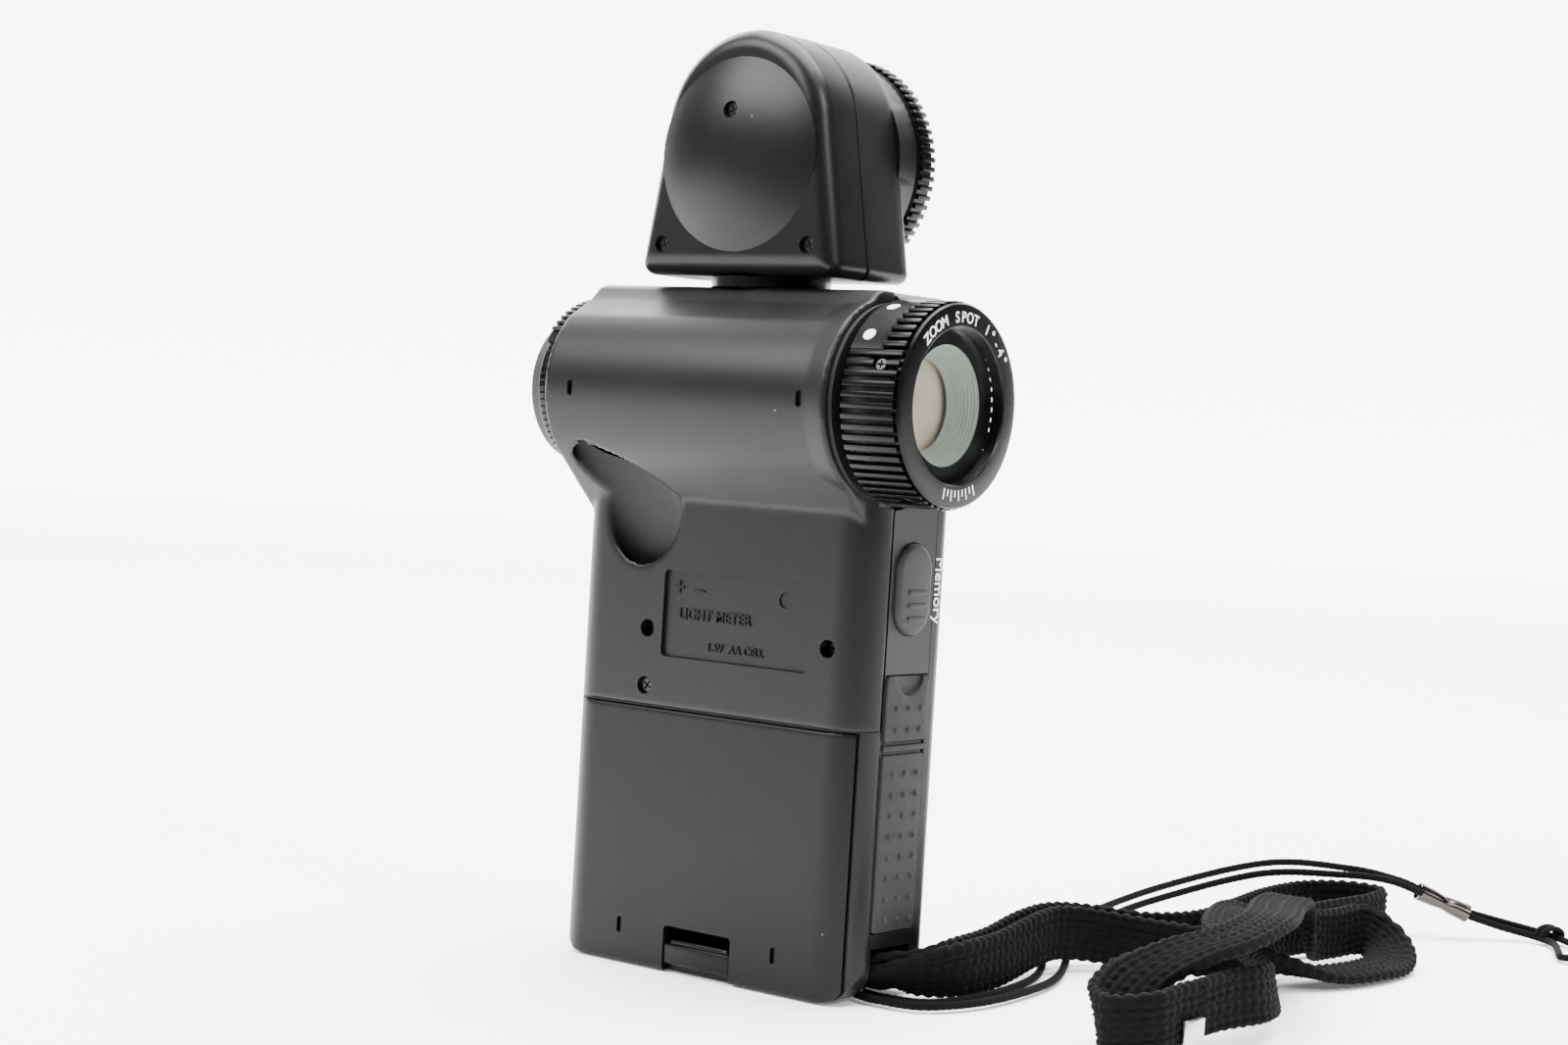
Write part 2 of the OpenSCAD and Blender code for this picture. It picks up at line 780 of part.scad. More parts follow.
module mode_key() { front_key(key_x[0]); }
module iso_one_key() { front_key(key_x[1]); }
module iso_two_key() { front_key(key_x[2]); }
module clear_key() { front_key(key_x[3]); }

jog_x = -25.6;
jog_y = 6.6;
jog_r = 6.6;

module jog_wheel() {
    teeth = 40;
    color(black) difference() {
        translate([jog_x, jog_y, 50.1]) cylinder(h = 5.3, r = jog_r);
        translate([jog_x, jog_y, 49]) cylinder(h = 8, r = 1.3);
        for (i = [0:teeth - 1]) translate([jog_x, jog_y, 49]) rotate([0, 0, i * 360 / teeth])
            translate([jog_r, 0, 0]) cylinder(h = 8, r = 0.3, $fn = 4);
    }
}

module jog_axle() {
    color(steel) translate([jog_x, jog_y, 48.2]) cylinder(h = 9.1, r = 1.25);
}

module power_switch() {
    color(black) union() {
        span([-5.1, 10.1, 12.4], [1.1, 10.25, 17.6]);
        span([-5.4, 9.2, 12.2], [1.4, 10.2, 17.8]);
        slab_y(9.6, 12.9) soft_rect(-4.8, 0.8, 13.5, 16.5, 0.5, 0.5);
    }
}

module case_screws() {
    color(steel) union() {
        for (p = case_screw_at) screw_y(p[0], p[1] > 50 ? -9.3 : -10.4, p[1], 1.35, 7);
    }
}

module strap_bar() {
    color(steel) translate([27.2, 0, 4.2]) rotate([90, 0, 0]) cylinder(h = 12.2, r = 0.9, center = true);
}

// ---- strap -----------------------------------------------------------------------

// Routes, from the bar outwards. The braid's fourth number is its lean: 0 on edge, 90 flat.
upper_route = [
    [28.5, 1.4, 6.6, 90], [34, 4, 6.2, 60], [37, 12, 5.6, 15], [36.4, 24, 5.6, 0],
    [34, 38, 6.8, 0], [33, 50, 7, 0], [36, 60, 6, 0], [44, 66, 5.3, 0],
    [48, 78, 5.2, 0], [45.5, 96, 5.3, 0], [43, 113, 5.4, 0], [43.5, 129, 5.4, 0],
    [49, 138, 5.2, 0], [56, 137, 5.2, 0], [58.5, 127, 5.2, 0], [57.5, 112, 5.2, 0],
    [57, 98, 5.3, 0], [57.5, 85, 6.4, 20], [59, 75, 10.6, 60], [62, 65, 12.6, 88],
    [67, 54, 12.4, 88], [73, 46, 10.8, 70], [80, 41, 8, 35], [86, 34, 7.2, 12], [88.4, 26, 7.6, 8],
    [87.4, 18, 7.6, 4], [87, 13, 7.4, 0], [87, 8.2, 7.2, 0]];
lower_route = [
    [28.5, 1.4, 2.6, 90], [35, 1.8, 4.4, 50], [40.4, 9, 5.5, 12], [40, 22, 5.6, 0],
    [37.4, 38, 6.8, 0], [36.4, 48, 7, 0], [40, 56, 6, 0], [49, 60, 5.3, 0],
    [58, 63, 5.3, 20], [66.5, 69, 4.4, 60], [72.5, 79, 2, 88], [75, 92, 1.5, 90],
    [74, 104, 1.5, 90], [69.5, 111.5, 3.2, 65], [64.6, 111.5, 5.4, 15], [63.6, 102, 5.5, 0],
    [64, 92, 6.4, 10], [65.5, 83, 10, 45], [68.5, 73, 15, 85], [73, 60, 16.2, 90],
    [79, 47, 16.9, 90], [83.5, 35, 17.5, 90], [84.5, 23, 16.4, 85], [81, 13, 14.4, 75],
    [77, 5, 10.5, 55], [77, -4, 6.4, 20], [82, -9.5, 6, 0], [87, -5, 6.8, 0],
    [87, 2, 7.2, 0], [87, 7.2, 7.2, 0]];
cord_back_route = [
    [29, -0.4, 0.9], [34, -1, 0.9], [41, 2, 0.9], [43, 16, 0.9], [40, 34, 0.9], [32, 50, 0.9],
    [22, 64, 1.1], [15.8, 88, 2.4], [17, 118, 6], [30, 138, 11], [46, 143, 11.7], [56, 144, 10.8],
    [60.8, 145.6, 9.2]];
cord_front_route = [
    [29, -2.6, 0.9], [34, -3.6, 0.9], [42, -1, 0.9], [46, 12, 0.9], [43.6, 34, 0.9], [35, 53, 0.9],
    [25.5, 68, 1.2], [20, 90, 2.6], [24, 107, 6], [37, 122, 11.2], [50, 130, 12.2], [57, 137.5, 11.4],
    [61.6, 144.2, 8.8]];
cord_tail_route = [
    [67, 151.8, 5.4], [72.4, 158.4, 3.4], [79.5, 163.2, 1.6], [86.5, 160.5, 0.9], [92.5, 153, 0.9],
    [94.4, 146, 0.9], [91.4, 143.6, 0.9], [88.6, 149, 0.9], [84, 157.4, 0.9], [78.6, 160.2, 1.2],
    [73.4, 156.4, 2.6], [68, 150.8, 4.8]];
ferrule_from = [60.1, 145.1, 9];
ferrule_to = [68, 151.6, 5];

function unit(v) = v / norm(v);
function spot(p) = [p[0], p[1], p[2]];
function heading(route, i) = unit(spot(route[min(i + 1, len(route) - 1)]) - spot(route[max(i - 1, 0)]));

// Eight points round each stop of a route; wide runs along the lean, thick across it.
function band_ring(p, t, lean, wide, thick) =
    let (n = unit(cross(t, [0, 0, 1])), u = cross(n, t),
        w = cos(lean) * u + sin(lean) * n, h = cross(t, w),
        in_w = wide / 2 - thick * 0.3, in_h = thick * 0.2)
    [for (c = [[in_w, -thick / 2], [wide / 2, -in_h], [wide / 2, in_h], [in_w, thick / 2],
        [-in_w, thick / 2], [-wide / 2, in_h], [-wide / 2, -in_h], [-in_w, -thick / 2]])
        p + c[0] * w + c[1] * h];

function cord_ring(p, t, r) =
    let (n = unit(cross(t, [0, 0, 1])), u = cross(n, t))
    [for (k = [0:7]) p + r * (cos(45 * k) * n + sin(45 * k) * u)];

module braid(route) {
    color(black) sweep([for (i = [0:len(route) - 1])
        band_ring(spot(route[i]), heading(route, i), route[i][3], braid_w, braid_t)]);
}

module cord(route) {
    color(black) sweep([for (i = [0:len(route) - 1]) cord_ring(route[i], heading(route, i), cord_d / 2)]);
}

module strap_leg_upper() { braid(upper_route); }
module strap_leg_lower() { braid(lower_route); }
module loop_cord_back() { cord(cord_back_route); }
module loop_cord_front() { cord(cord_front_route); }
module loop_cord_tail() { cord(cord_tail_route); }

module strap_ferrule() {
    color(steel) difference() {
        span([84.9, 1, 0.05], [89.1, 7, 6.5]);
        span([85.7, 0, 0.8], [88.3, 15, 10.3]);
    }
}

// A dented tube crimped over the two strands and the loop beyond them.
module cord_ferrule() {
    run = ferrule_to - ferrule_from;
    color(steel) translate(ferrule_from)
        rotate([0, acos(run[2] / norm(run)), atan2(run[1], run[0])])
        difference() {
            cylinder(h = norm(run), r = 2.1);
            translate([0, 0, -1]) cylinder(h = norm(run) + 2, r = 1.6);
        }
}

// ---- every node ------------------------------------------------------------------

rear_housing();
front_housing();
mid_frame();
battery_cover();
cover_latch();
battery_holder();
battery_cell();
battery_spring();
battery_contact();
grip_pad();
sync_flap();
sync_socket();
memory_button();
measuring_button();
lens_mount();
zoom_ring();
name_ring();
front_glass();
lens_baffle();
objective_lens();
zoom_carrier();
zoom_lens();
finder_prism();
spot_sensor();
ring_screws();
eyepiece_tube();
diopter_ring();
eyecup();
eyepiece_lens();
head_rear_shell();
head_front_shell();
head_neck();
swivel_clip();
head_screws();
dome_ring();
dome();
dome_carrier();
incident_sensor();
lcd_window();
lcd_module();
main_board();
key_mat();
mode_key();
iso_one_key();
iso_two_key();
clear_key();
jog_wheel();
jog_axle();
power_switch();
case_screws();
strap_bar();
strap_leg_upper();
strap_leg_lower();
strap_ferrule();
loop_cord_front();
loop_cord_back();
cord_ferrule();
loop_cord_tail();
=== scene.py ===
# %% [markdown]
# # Handheld light meter
# A zoom spot meter with a swivelling dome head. The sizes, the joints and the moving parts come
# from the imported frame. This file gives each piece the surface that a hand and an eye would meet:
# moulded shells with soft edges, knurled rings, printed letters, dotted rubber and a plaited strap.

# %% Load the frame
import math

import bmesh
import bpy
from mathutils import Matrix, Vector


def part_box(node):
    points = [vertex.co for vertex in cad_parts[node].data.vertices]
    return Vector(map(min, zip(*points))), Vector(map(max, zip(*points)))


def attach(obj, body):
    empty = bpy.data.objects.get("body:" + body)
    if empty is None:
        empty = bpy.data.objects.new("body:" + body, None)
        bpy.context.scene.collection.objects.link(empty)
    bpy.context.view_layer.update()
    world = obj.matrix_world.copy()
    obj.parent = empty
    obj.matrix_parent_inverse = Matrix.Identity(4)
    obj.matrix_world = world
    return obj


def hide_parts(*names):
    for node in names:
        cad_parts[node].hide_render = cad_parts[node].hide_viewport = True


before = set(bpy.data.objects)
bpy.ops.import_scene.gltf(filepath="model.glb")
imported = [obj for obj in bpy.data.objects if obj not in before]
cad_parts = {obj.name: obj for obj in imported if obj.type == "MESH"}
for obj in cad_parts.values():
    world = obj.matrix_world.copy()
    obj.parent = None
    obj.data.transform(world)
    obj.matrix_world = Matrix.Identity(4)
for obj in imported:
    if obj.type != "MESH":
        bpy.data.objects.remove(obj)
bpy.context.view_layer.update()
MM = 0.001

# %% [markdown]
# ## Lengths that several pieces share
# The barrel of the spot optics runs along X. The head turns about Z, and its dome looks along +Y.
# Lengths below are millimetres, and MM turns them into metres when a mesh is made.

# %% Shared lengths
BARREL_Y, BARREL_Z, BARREL_R = -5.8, 99.0, 16.8
LEFT, RIGHT, TOP = -31.2, 32.4, 117.3
BACK, SEAM_BACK = -11.3, -4.9
DOOR_TOP = 44.7
FOOT_R = 6.0
HEAD_BACK, HEAD_SEAM, HEAD_FRONT = -11.3, -1.3, 11.7
DOME_Z = 140.0
BUTTON_Y = 1.25


def on_barrel(angle, radius):
    """(y, z) at an angle round the barrel: 90 is up and 180 is the back."""
    a = math.radians(angle)
    return BARREL_Y + radius * math.cos(a), BARREL_Z + radius * math.sin(a)


def linked(name, data):
    """A new object over a mesh, a light, a camera or letters, put into the scene."""
    made = bpy.data.objects.new(name, data)
    bpy.context.scene.collection.objects.link(made)
    return made


print("barrel axis:", BARREL_Y, BARREL_Z)

# %% [markdown]
# ## Camera, floor and light
# The camera stands behind the meter's right shoulder, a little above its middle. Its roll shows
# that the real meter leans back on a support. The camera comes first, because the strap's visible
# part is judged through it.

# %% Camera
AIM = Vector((6.83, -1.3, 77.88)) * MM
AZIMUTH, ELEVATION, ROLL = (math.radians(d) for d in (37.84, 1.75, 3.47))
DISTANCE = 469.27 * MM


def make_camera():
    """The camera, placed on its line to the aim and turned by the roll."""
    back = Vector((math.sin(AZIMUTH) * math.cos(ELEVATION),
                   -math.cos(AZIMUTH) * math.cos(ELEVATION), math.sin(ELEVATION)))
    right = Vector((math.cos(AZIMUTH), math.sin(AZIMUTH), 0))
    up = back.cross(right)
    side = right * math.cos(ROLL) + up * math.sin(ROLL)
    top = up * math.cos(ROLL) - right * math.sin(ROLL)
    data = bpy.data.cameras.new("camera")
    data.sensor_width = 36
    data.lens = 63.2
    data.clip_start = 0.01
    camera = linked("camera", data)
    turn = Matrix((side, top, back)).transposed().to_4x4()
    camera.matrix_world = Matrix.Translation(AIM + back * DISTANCE) @ turn
    bpy.context.scene.camera = camera
    return camera


camera = make_camera()
print("camera at", [round(c, 3) for c in camera.matrix_world.translation])


# %% Floor and lights
def make_floor():
    """A white table, with painted light that grows with distance and painted shade towards the camera."""
    white = bpy.data.materials.new("floor_white")
    white.use_nodes = True
    shader = white.node_tree.nodes["Principled BSDF"]
    shader.inputs["Base Color"].default_value = (0.97, 0.97, 0.97, 1)
    shader.inputs["Roughness"].default_value = 0.9
    shader.inputs["Specular IOR Level"].default_value = 0.0
    shader.inputs["Emission Color"].default_value = (1, 1, 1, 1)
    where = white.node_tree.nodes.new("ShaderNodeTexCoord")
    # Painted light: the table glows more the further it lies from the meter.
    far = white.node_tree.nodes.new("ShaderNodeVectorMath")
    far.operation = "LENGTH"
    glow = white.node_tree.nodes.new("ShaderNodeMapRange")
    glow.inputs["From Min"].default_value = 0.25
    glow.inputs["From Max"].default_value = 1.6
    glow.inputs["To Min"].default_value = 0.15
    glow.inputs["To Max"].default_value = 4.0
    white.node_tree.links.new(where.outputs["Object"], far.inputs[0])
    white.node_tree.links.new(far.outputs["Value"], glow.inputs["Value"])
    # Painted shade: colour and glow drop on the camera's side of the table.
    toward = white.node_tree.nodes.new("ShaderNodeVectorMath")
    toward.operation = "DOT_PRODUCT"
    toward.inputs[1].default_value = (math.sin(AZIMUTH), -math.cos(AZIMUTH), 0)
    fade = white.node_tree.nodes.new("ShaderNodeMapRange")
    fade.inputs["From Min"].default_value = 0.15
    fade.inputs["From Max"].default_value = 0.35
    fade.inputs["To Min"].default_value = 0.97
    fade.inputs["To Max"].default_value = 0.10
    dim = white.node_tree.nodes.new("ShaderNodeMath")
    dim.operation = "MULTIPLY"
    white.node_tree.links.new(where.outputs["Object"], toward.inputs[0])
    white.node_tree.links.new(toward.outputs["Value"], fade.inputs["Value"])
    white.node_tree.links.new(fade.outputs["Result"], shader.inputs["Base Color"])
    white.node_tree.links.new(glow.outputs["Result"], dim.inputs[0])
    white.node_tree.links.new(fade.outputs["Result"], dim.inputs[1])
    white.node_tree.links.new(dim.outputs[0], shader.inputs["Emission Strength"])
    half = 3.0
    mesh = bpy.data.meshes.new("floor")
    mesh.from_pydata([(-half, -half, -0.0003), (half, -half, -0.0003), (half, half, -0.0003),
                      (-half, half, -0.0003)], [], [(0, 1, 2, 3)])
    mesh.materials.append(white)
    linked("floor", mesh)


def area_light(name, place, size, power, aim=(0, 0, 0.09)):
    """A soft lamp at a place, turned towards the aim."""
    data = bpy.data.lights.new(name, "AREA")
    data.shape = "RECTANGLE"
    data.size, data.size_y = size
    data.energy = power
    lamp = linked(name, data)
    lamp.location = place
    lamp.rotation_euler = (Vector(aim) - Vector(place)).to_track_quat("-Z", "Y").to_euler()
    return lamp


def backdrop():
    """A white paper sweep behind the object, bright by itself as a lit sheet is."""
    sheet = bpy.data.materials.new("backdrop_white")
    sheet.use_nodes = True
    shader = sheet.node_tree.nodes["Principled BSDF"]
    shader.inputs["Base Color"].default_value = (0.95, 0.95, 0.95, 1)
    shader.inputs["Roughness"].default_value = 0.9
    shader.inputs["Emission Color"].default_value = (1, 1, 1, 1)
    shader.inputs["Emission Strength"].default_value = 4.0
    middle = math.radians(90) + AZIMUTH
    points = []
    for i in range(25):
        a = middle + math.radians(-50 + 100 * i / 24)
        for z in (-0.0006, 2.2):
            points.append((2.4 * math.cos(a), 2.4 * math.sin(a), z))
    faces = [(2 * i, 2 * i + 2, 2 * i + 3, 2 * i + 1) for i in range(24)]
    mesh = bpy.data.meshes.new("backdrop")
    mesh.from_pydata(points, [], faces)
    mesh.materials.append(sheet)
    linked("backdrop", mesh)


make_floor()
backdrop()
world = bpy.data.worlds.new("studio")
bpy.context.scene.world = world
world.use_nodes = True
world.node_tree.nodes["Background"].inputs["Color"].default_value = (1, 1, 1, 1)
world.node_tree.nodes["Background"].inputs["Strength"].default_value = 0.05
area_light("front_top", (-0.40, -0.80, 0.80), (0.9, 0.5), 27)
area_light("key_right", (0.95, -0.15, 0.75), (0.35, 0.35), 10)
area_light("top_soft", (0.0, 0.15, 1.2), (1.2, 1.2), 95)
area_light("left_soft", (-0.85, 0.35, 0.85), (0.6, 0.6), 10)
print("studio light is on")

# %% [markdown]
# ## Making meshes
# A few helpers carry the whole file. A mesh is listed in millimetres and placed in metres, with
# its object left at the origin. A modifier is baked as soon as it has done its work.


# %% Mesh helpers
def mesh_object(name, points, faces):
    """An object from points in millimetres."""
    mesh = bpy.data.meshes.new(name)
    mesh.from_pydata([Vector(p) * MM for p in points], [], faces)
    mesh.validate()
    return linked(name, mesh)


def outward(piece, merge=0.002):
    """Joins doubled points and turns every face outwards."""
    made = bmesh.new()
    made.from_mesh(piece.data)
    bmesh.ops.remove_doubles(made, verts=made.verts, dist=merge * MM)
    bare = [edge for edge in made.edges if not edge.link_faces]
    bmesh.ops.delete(made, geom=bare, context="EDGES")
    bmesh.ops.recalc_face_normals(made, faces=made.faces)
    made.to_mesh(piece.data)
    made.free()
    return piece


def bake(piece):
    """Turns the piece and its modifiers into a plain mesh."""
    bpy.context.view_layer.update()
    seen = piece.evaluated_get(bpy.context.evaluated_depsgraph_get())
    mesh = bpy.data.meshes.new_from_object(seen)
    old = piece.data
    piece.modifiers.clear()
    piece.data = mesh
    bpy.data.meshes.remove(old)
    return piece


def smooth(piece, angle=32):
    """Shades smooth, with sharp lines where faces meet at more than the angle."""
    for face in piece.data.polygons:
        face.use_smooth = True
    piece.data.set_sharp_from_angle(angle=math.radians(angle))
    return piece


def soften(piece, width, segments=3, angle=30):
    """Rounds the edges of a piece."""
    rounding = piece.modifiers.new("rounding", "BEVEL")
    rounding.width = width * MM
    rounding.segments = segments
    rounding.limit_method = "ANGLE"
    rounding.angle_limit = math.radians(angle)
    rounding.harden_normals = False
    return bake(piece)


def combine(piece, other, how="DIFFERENCE"):
    """Cuts, joins or crosses a piece with another, which is used up."""
    step = piece.modifiers.new("combine", "BOOLEAN")
    step.operation = how
    step.solver = "EXACT"
    step.object = other
    bake(piece)
    bpy.data.objects.remove(other)
    return piece


def joined(name, pieces):
    """One object from several, each already in its place."""
    made = bmesh.new()
    for piece in pieces:
        made.from_mesh(piece.data)
    mesh = bpy.data.meshes.new(name)
    made.to_mesh(mesh)
    made.free()
    whole = linked(name, mesh)
    for piece in pieces:
        bpy.data.objects.remove(piece)
    return whole


def block(name, low, high):
    """A box between two corners."""
    (x0, y0, z0), (x1, y1, z1) = low, high
    points = [(x, y, z) for x in (x0, x1) for y in (y0, y1) for z in (z0, z1)]
    faces = [(0, 1, 3, 2), (4, 6, 7, 5), (0, 4, 5, 1), (2, 3, 7, 6), (0, 2, 6, 4), (1, 5, 7, 3)]
    return mesh_object(name, points, faces)


def prism(name, outline, place, start, end):
    """A flat outline of (a, b) pushed from start to end. place(a, b, c) gives the point."""
    n = len(outline)
    points = [place(a, b, c) for c in (start, end) for a, b in outline]
    faces = [tuple(range(n)), tuple(range(2 * n - 1, n - 1, -1))]
    faces += [(i, (i + 1) % n, n + (i + 1) % n, n + i) for i in range(n)]
    return outward(mesh_object(name, points, faces))


def on_back(a, b, c):
    """An outline on (x, z), pushed along Y."""
    return (a, c, b)


def on_side(a, b, c):
    """An outline on (y, z), pushed along X."""
    return (c, a, b)


def round_rect(x0, x1, z0, z1, low_r, high_r, steps=8):
    """A rectangle's outline with its own radius for the two low and the two high corners."""
    corners = [(x0 + low_r, z0 + low_r, low_r, 180), (x1 - low_r, z0 + low_r, low_r, 270),
               (x1 - high_r, z1 - high_r, high_r, 0), (x0 + high_r, z1 - high_r, high_r, 90)]
    return [(x + r * math.cos(math.radians(a + 90 * i / steps)),
             z + r * math.sin(math.radians(a + 90 * i / steps)))
            for x, z, r, a in corners for i in range(steps + 1)]


def turned(name, profile, place, steps=128, start=0.0, sweep=360.0):
    """A closed profile of (along, radius) turned round an axis. place(along, radius, angle).

    A radius of 0 lies on the axis, where the doubled points close up into a pole.
    """
    whole = sweep >= 360
    rows = steps if whole else steps + 1
    n = len(profile)
    points = [place(a, r, start + sweep * i / steps) for i in range(rows) for a, r in profile]
    faces = [(i * n + k, i * n + (k + 1) % n, (i + 1) % rows * n + (k + 1) % n, (i + 1) % rows * n + k)
             for i in range(steps) for k in range(n)]
    if not whole:
        faces += [tuple(range(n)), tuple(range(rows * n - 1, (rows - 1) * n - 1, -1))]
    return outward(mesh_object(name, points, faces))


def round_tube(along, radius, angle):
    """A place round the barrel's axis."""
    y, z = on_barrel(angle, radius)
    return (along, y, z)


def round_head(along, radius, angle):
    """A place round the dome's axis."""
    a = math.radians(angle)
    return (radius * math.cos(a), along, DOME_Z + radius * math.sin(a))


print("mesh helpers ready")

# %% [markdown]
# ## Patterns that several finishes share
# A node group is a small machine with named inputs. The moulded shells, the rings and the rubber
# all have a spark-eroded grain, and all of them carry a little dust and a few hairline scratches
# from use, so grain, dust and scratches are groups, each built once.


# %% Shader node groups
def socket_group(name, ins, outs):
    """An empty shader group with its inputs and outputs."""
    group = bpy.data.node_groups.new(name, "ShaderNodeTree")
    for label, value in ins:
        made = group.interface.new_socket(name=label, in_out="INPUT", socket_type="NodeSocketFloat")
        made.default_value = value
    for label, kind in outs:
        group.interface.new_socket(name=label, in_out="OUTPUT", socket_type=kind)
    return group, group.nodes.new("NodeGroupInput"), group.nodes.new("NodeGroupOutput")


def node(tree, kind, **values):
    """A node with its settings."""
    made = tree.nodes.new(kind)
    for key, value in values.items():
        setattr(made, key, value)
    return made


def mould_grain_group():
    """Height and roughness of the fine sparkle left by an eroded mould."""
    group, given, result = socket_group(
        "mould_grain", [("Scale", 2600.0), ("Gloss spread", 0.12)],
        [("Height", "NodeSocketFloat"), ("Roughness shift", "NodeSocketFloat")])
    where = node(group, "ShaderNodeTexCoord")
    fine = node(group, "ShaderNodeTexNoise")
    fine.inputs["Detail"].default_value = 3
    fine.inputs["Roughness"].default_value = 0.55
    cloud = node(group, "ShaderNodeTexNoise")
    cloud.inputs["Scale"].default_value = 60
    spread = node(group, "ShaderNodeMath", operation="MULTIPLY")
    centre = node(group, "ShaderNodeMath", operation="SUBTRACT")
    centre.inputs[1].default_value = 0.5
    link = group.links.new
    link(where.outputs["Object"], fine.inputs["Vector"])
    link(where.outputs["Object"], cloud.inputs["Vector"])
    link(given.outputs["Scale"], fine.inputs["Scale"])
    link(fine.outputs["Fac"], result.inputs["Height"])
    link(cloud.outputs["Fac"], centre.inputs[0])
    link(centre.outputs[0], spread.inputs[0])
    link(given.outputs["Gloss spread"], spread.inputs[1])
    link(spread.outputs[0], result.inputs["Roughness shift"])
    return group


def dust_group():
    """A mask of sparse pale specks."""
    group, given, result = socket_group("dust_specks", [("Scale", 260.0), ("Size", 0.06), ("Amount", 0.5)],
                                        [("Mask", "NodeSocketFloat")])
    where = node(group, "ShaderNodeTexCoord")
    cells = node(group, "ShaderNodeTexVoronoi")
    patch = node(group, "ShaderNodeTexNoise")
    patch.inputs["Scale"].default_value = 35
    near = node(group, "ShaderNodeMath", operation="LESS_THAN")
    some = node(group, "ShaderNodeMath", operation="GREATER_THAN")
    both = node(group, "ShaderNodeMath", operation="MULTIPLY")
    link = group.links.new
    link(where.outputs["Object"], cells.inputs["Vector"])
    link(where.outputs["Object"], patch.inputs["Vector"])
    link(given.outputs["Scale"], cells.inputs["Scale"])
    link(cells.outputs["Distance"], near.inputs[0])
    link(given.outputs["Size"], near.inputs[1])
    link(patch.outputs["Fac"], some.inputs[0])
    link(given.outputs["Amount"], some.inputs[1])
    link(near.outputs[0], both.inputs[0])
    link(some.outputs[0], both.inputs[1])
    link(both.outputs[0], result.inputs["Mask"])
    return group


def scratch_group():
    """A mask of thin lines in a few directions, broken up by patches."""
    group, given, result = socket_group("hair_scratches", [("Scale", 90.0), ("Amount", 0.62)],
                                        [("Mask", "NodeSocketFloat")])
    where = node(group, "ShaderNodeTexCoord")
    lean = node(group, "ShaderNodeMapping")
    lean.inputs["Rotation"].default_value = (0.4, 0.9, 0.3)
    lean.inputs["Scale"].default_value = (0.05, 1.0, 1.0)
    lines = node(group, "ShaderNodeTexNoise")
    lines.inputs["Detail"].default_value = 2
    patch = node(group, "ShaderNodeTexNoise")
    patch.inputs["Scale"].default_value = 48
    far = node(group, "ShaderNodeMath", operation="SUBTRACT")
    far.inputs[1].default_value = 0.5
    size = node(group, "ShaderNodeMath", operation="ABSOLUTE")
    thin = node(group, "ShaderNodeMath", operation="LESS_THAN")
    thin.inputs[1].default_value = 0.0022
    some = node(group, "ShaderNodeMath", operation="GREATER_THAN")
    both = node(group, "ShaderNodeMath", operation="MULTIPLY")
    link = group.links.new
    link(where.outputs["Object"], lean.inputs["Vector"])
    link(lean.outputs["Vector"], lines.inputs["Vector"])
    link(given.outputs["Scale"], lines.inputs["Scale"])
    link(lines.outputs["Fac"], far.inputs[0])
    link(far.outputs[0], size.inputs[0])
    link(size.outputs[0], thin.inputs[0])
    link(where.outputs["Object"], patch.inputs["Vector"])
    link(patch.outputs["Fac"], some.inputs[0])
    link(given.outputs["Amount"], some.inputs[1])
    link(thin.outputs[0], both.inputs[0])
    link(some.outputs[0], both.inputs[1])
    link(both.outputs[0], result.inputs["Mask"])
    return group


GRAIN, DUST, SCRATCHES = mould_grain_group(), dust_group(), scratch_group()
print("node groups:", GRAIN.name, DUST.name, SCRATCHES.name)

# %% [markdown]
# ## Finishes
# Every plastic here is black, and still no two are alike. The shells are satin with a fine grain,
# the rings are smoother and darker, and the rubber is greyer and dry. One function lays the shared
# groups over a base colour, and each finish gives it its own numbers.


# %% Worn plastic
def plastic(name, colour, rough, grain, depth, dust=0.0, scratch=0.0, spread=0.14, shine=0.2):
    """Moulded plastic: grain from the mould, uneven gloss, dust and hairline scratches."""
    material = bpy.data.materials.new(name)
    material.use_nodes = True
    tree = material.node_tree
    shader = tree.nodes["Principled BSDF"]
    link = tree.links.new
    texture = node(tree, "ShaderNodeGroup", node_tree=GRAIN)
    texture.inputs["Scale"].default_value = grain
    texture.inputs["Gloss spread"].default_value = spread
    bump = node(tree, "ShaderNodeBump")
    bump.inputs["Strength"].default_value = depth
    bump.inputs["Distance"].default_value = 0.00008
    link(texture.outputs["Height"], bump.inputs["Height"])
    link(bump.outputs["Normal"], shader.inputs["Normal"])
    gloss = node(tree, "ShaderNodeMath", operation="ADD")
    gloss.inputs[1].default_value = rough
    link(texture.outputs["Roughness shift"], gloss.inputs[0])
    specks = node(tree, "ShaderNodeGroup", node_tree=DUST)
    specks.inputs["Amount"].default_value = 1 - dust
    lines = node(tree, "ShaderNodeGroup", node_tree=SCRATCHES)
    lines.inputs["Amount"].default_value = 1 - scratch
    marks = node(tree, "ShaderNodeMath", operation="MAXIMUM")
    link(specks.outputs["Mask"], marks.inputs[0])
    link(lines.outputs["Mask"], marks.inputs[1])
    faint = node(tree, "ShaderNodeMath", operation="MULTIPLY")
    faint.inputs[1].default_value = 0.45
    link(marks.outputs[0], faint.inputs[0])
    tint = node(tree, "ShaderNodeMix", data_type="RGBA")
    tint.inputs["A"].default_value = (*colour, 1)
    tint.inputs["B"].default_value = (0.13, 0.13, 0.135, 1)
    link(faint.outputs[0], tint.inputs["Factor"])
    link(tint.outputs["Result"], shader.inputs["Base Color"])
    link(gloss.outputs[0], shader.inputs["Roughness"])
    shader.inputs["Specular IOR Level"].default_value = shine
    return material


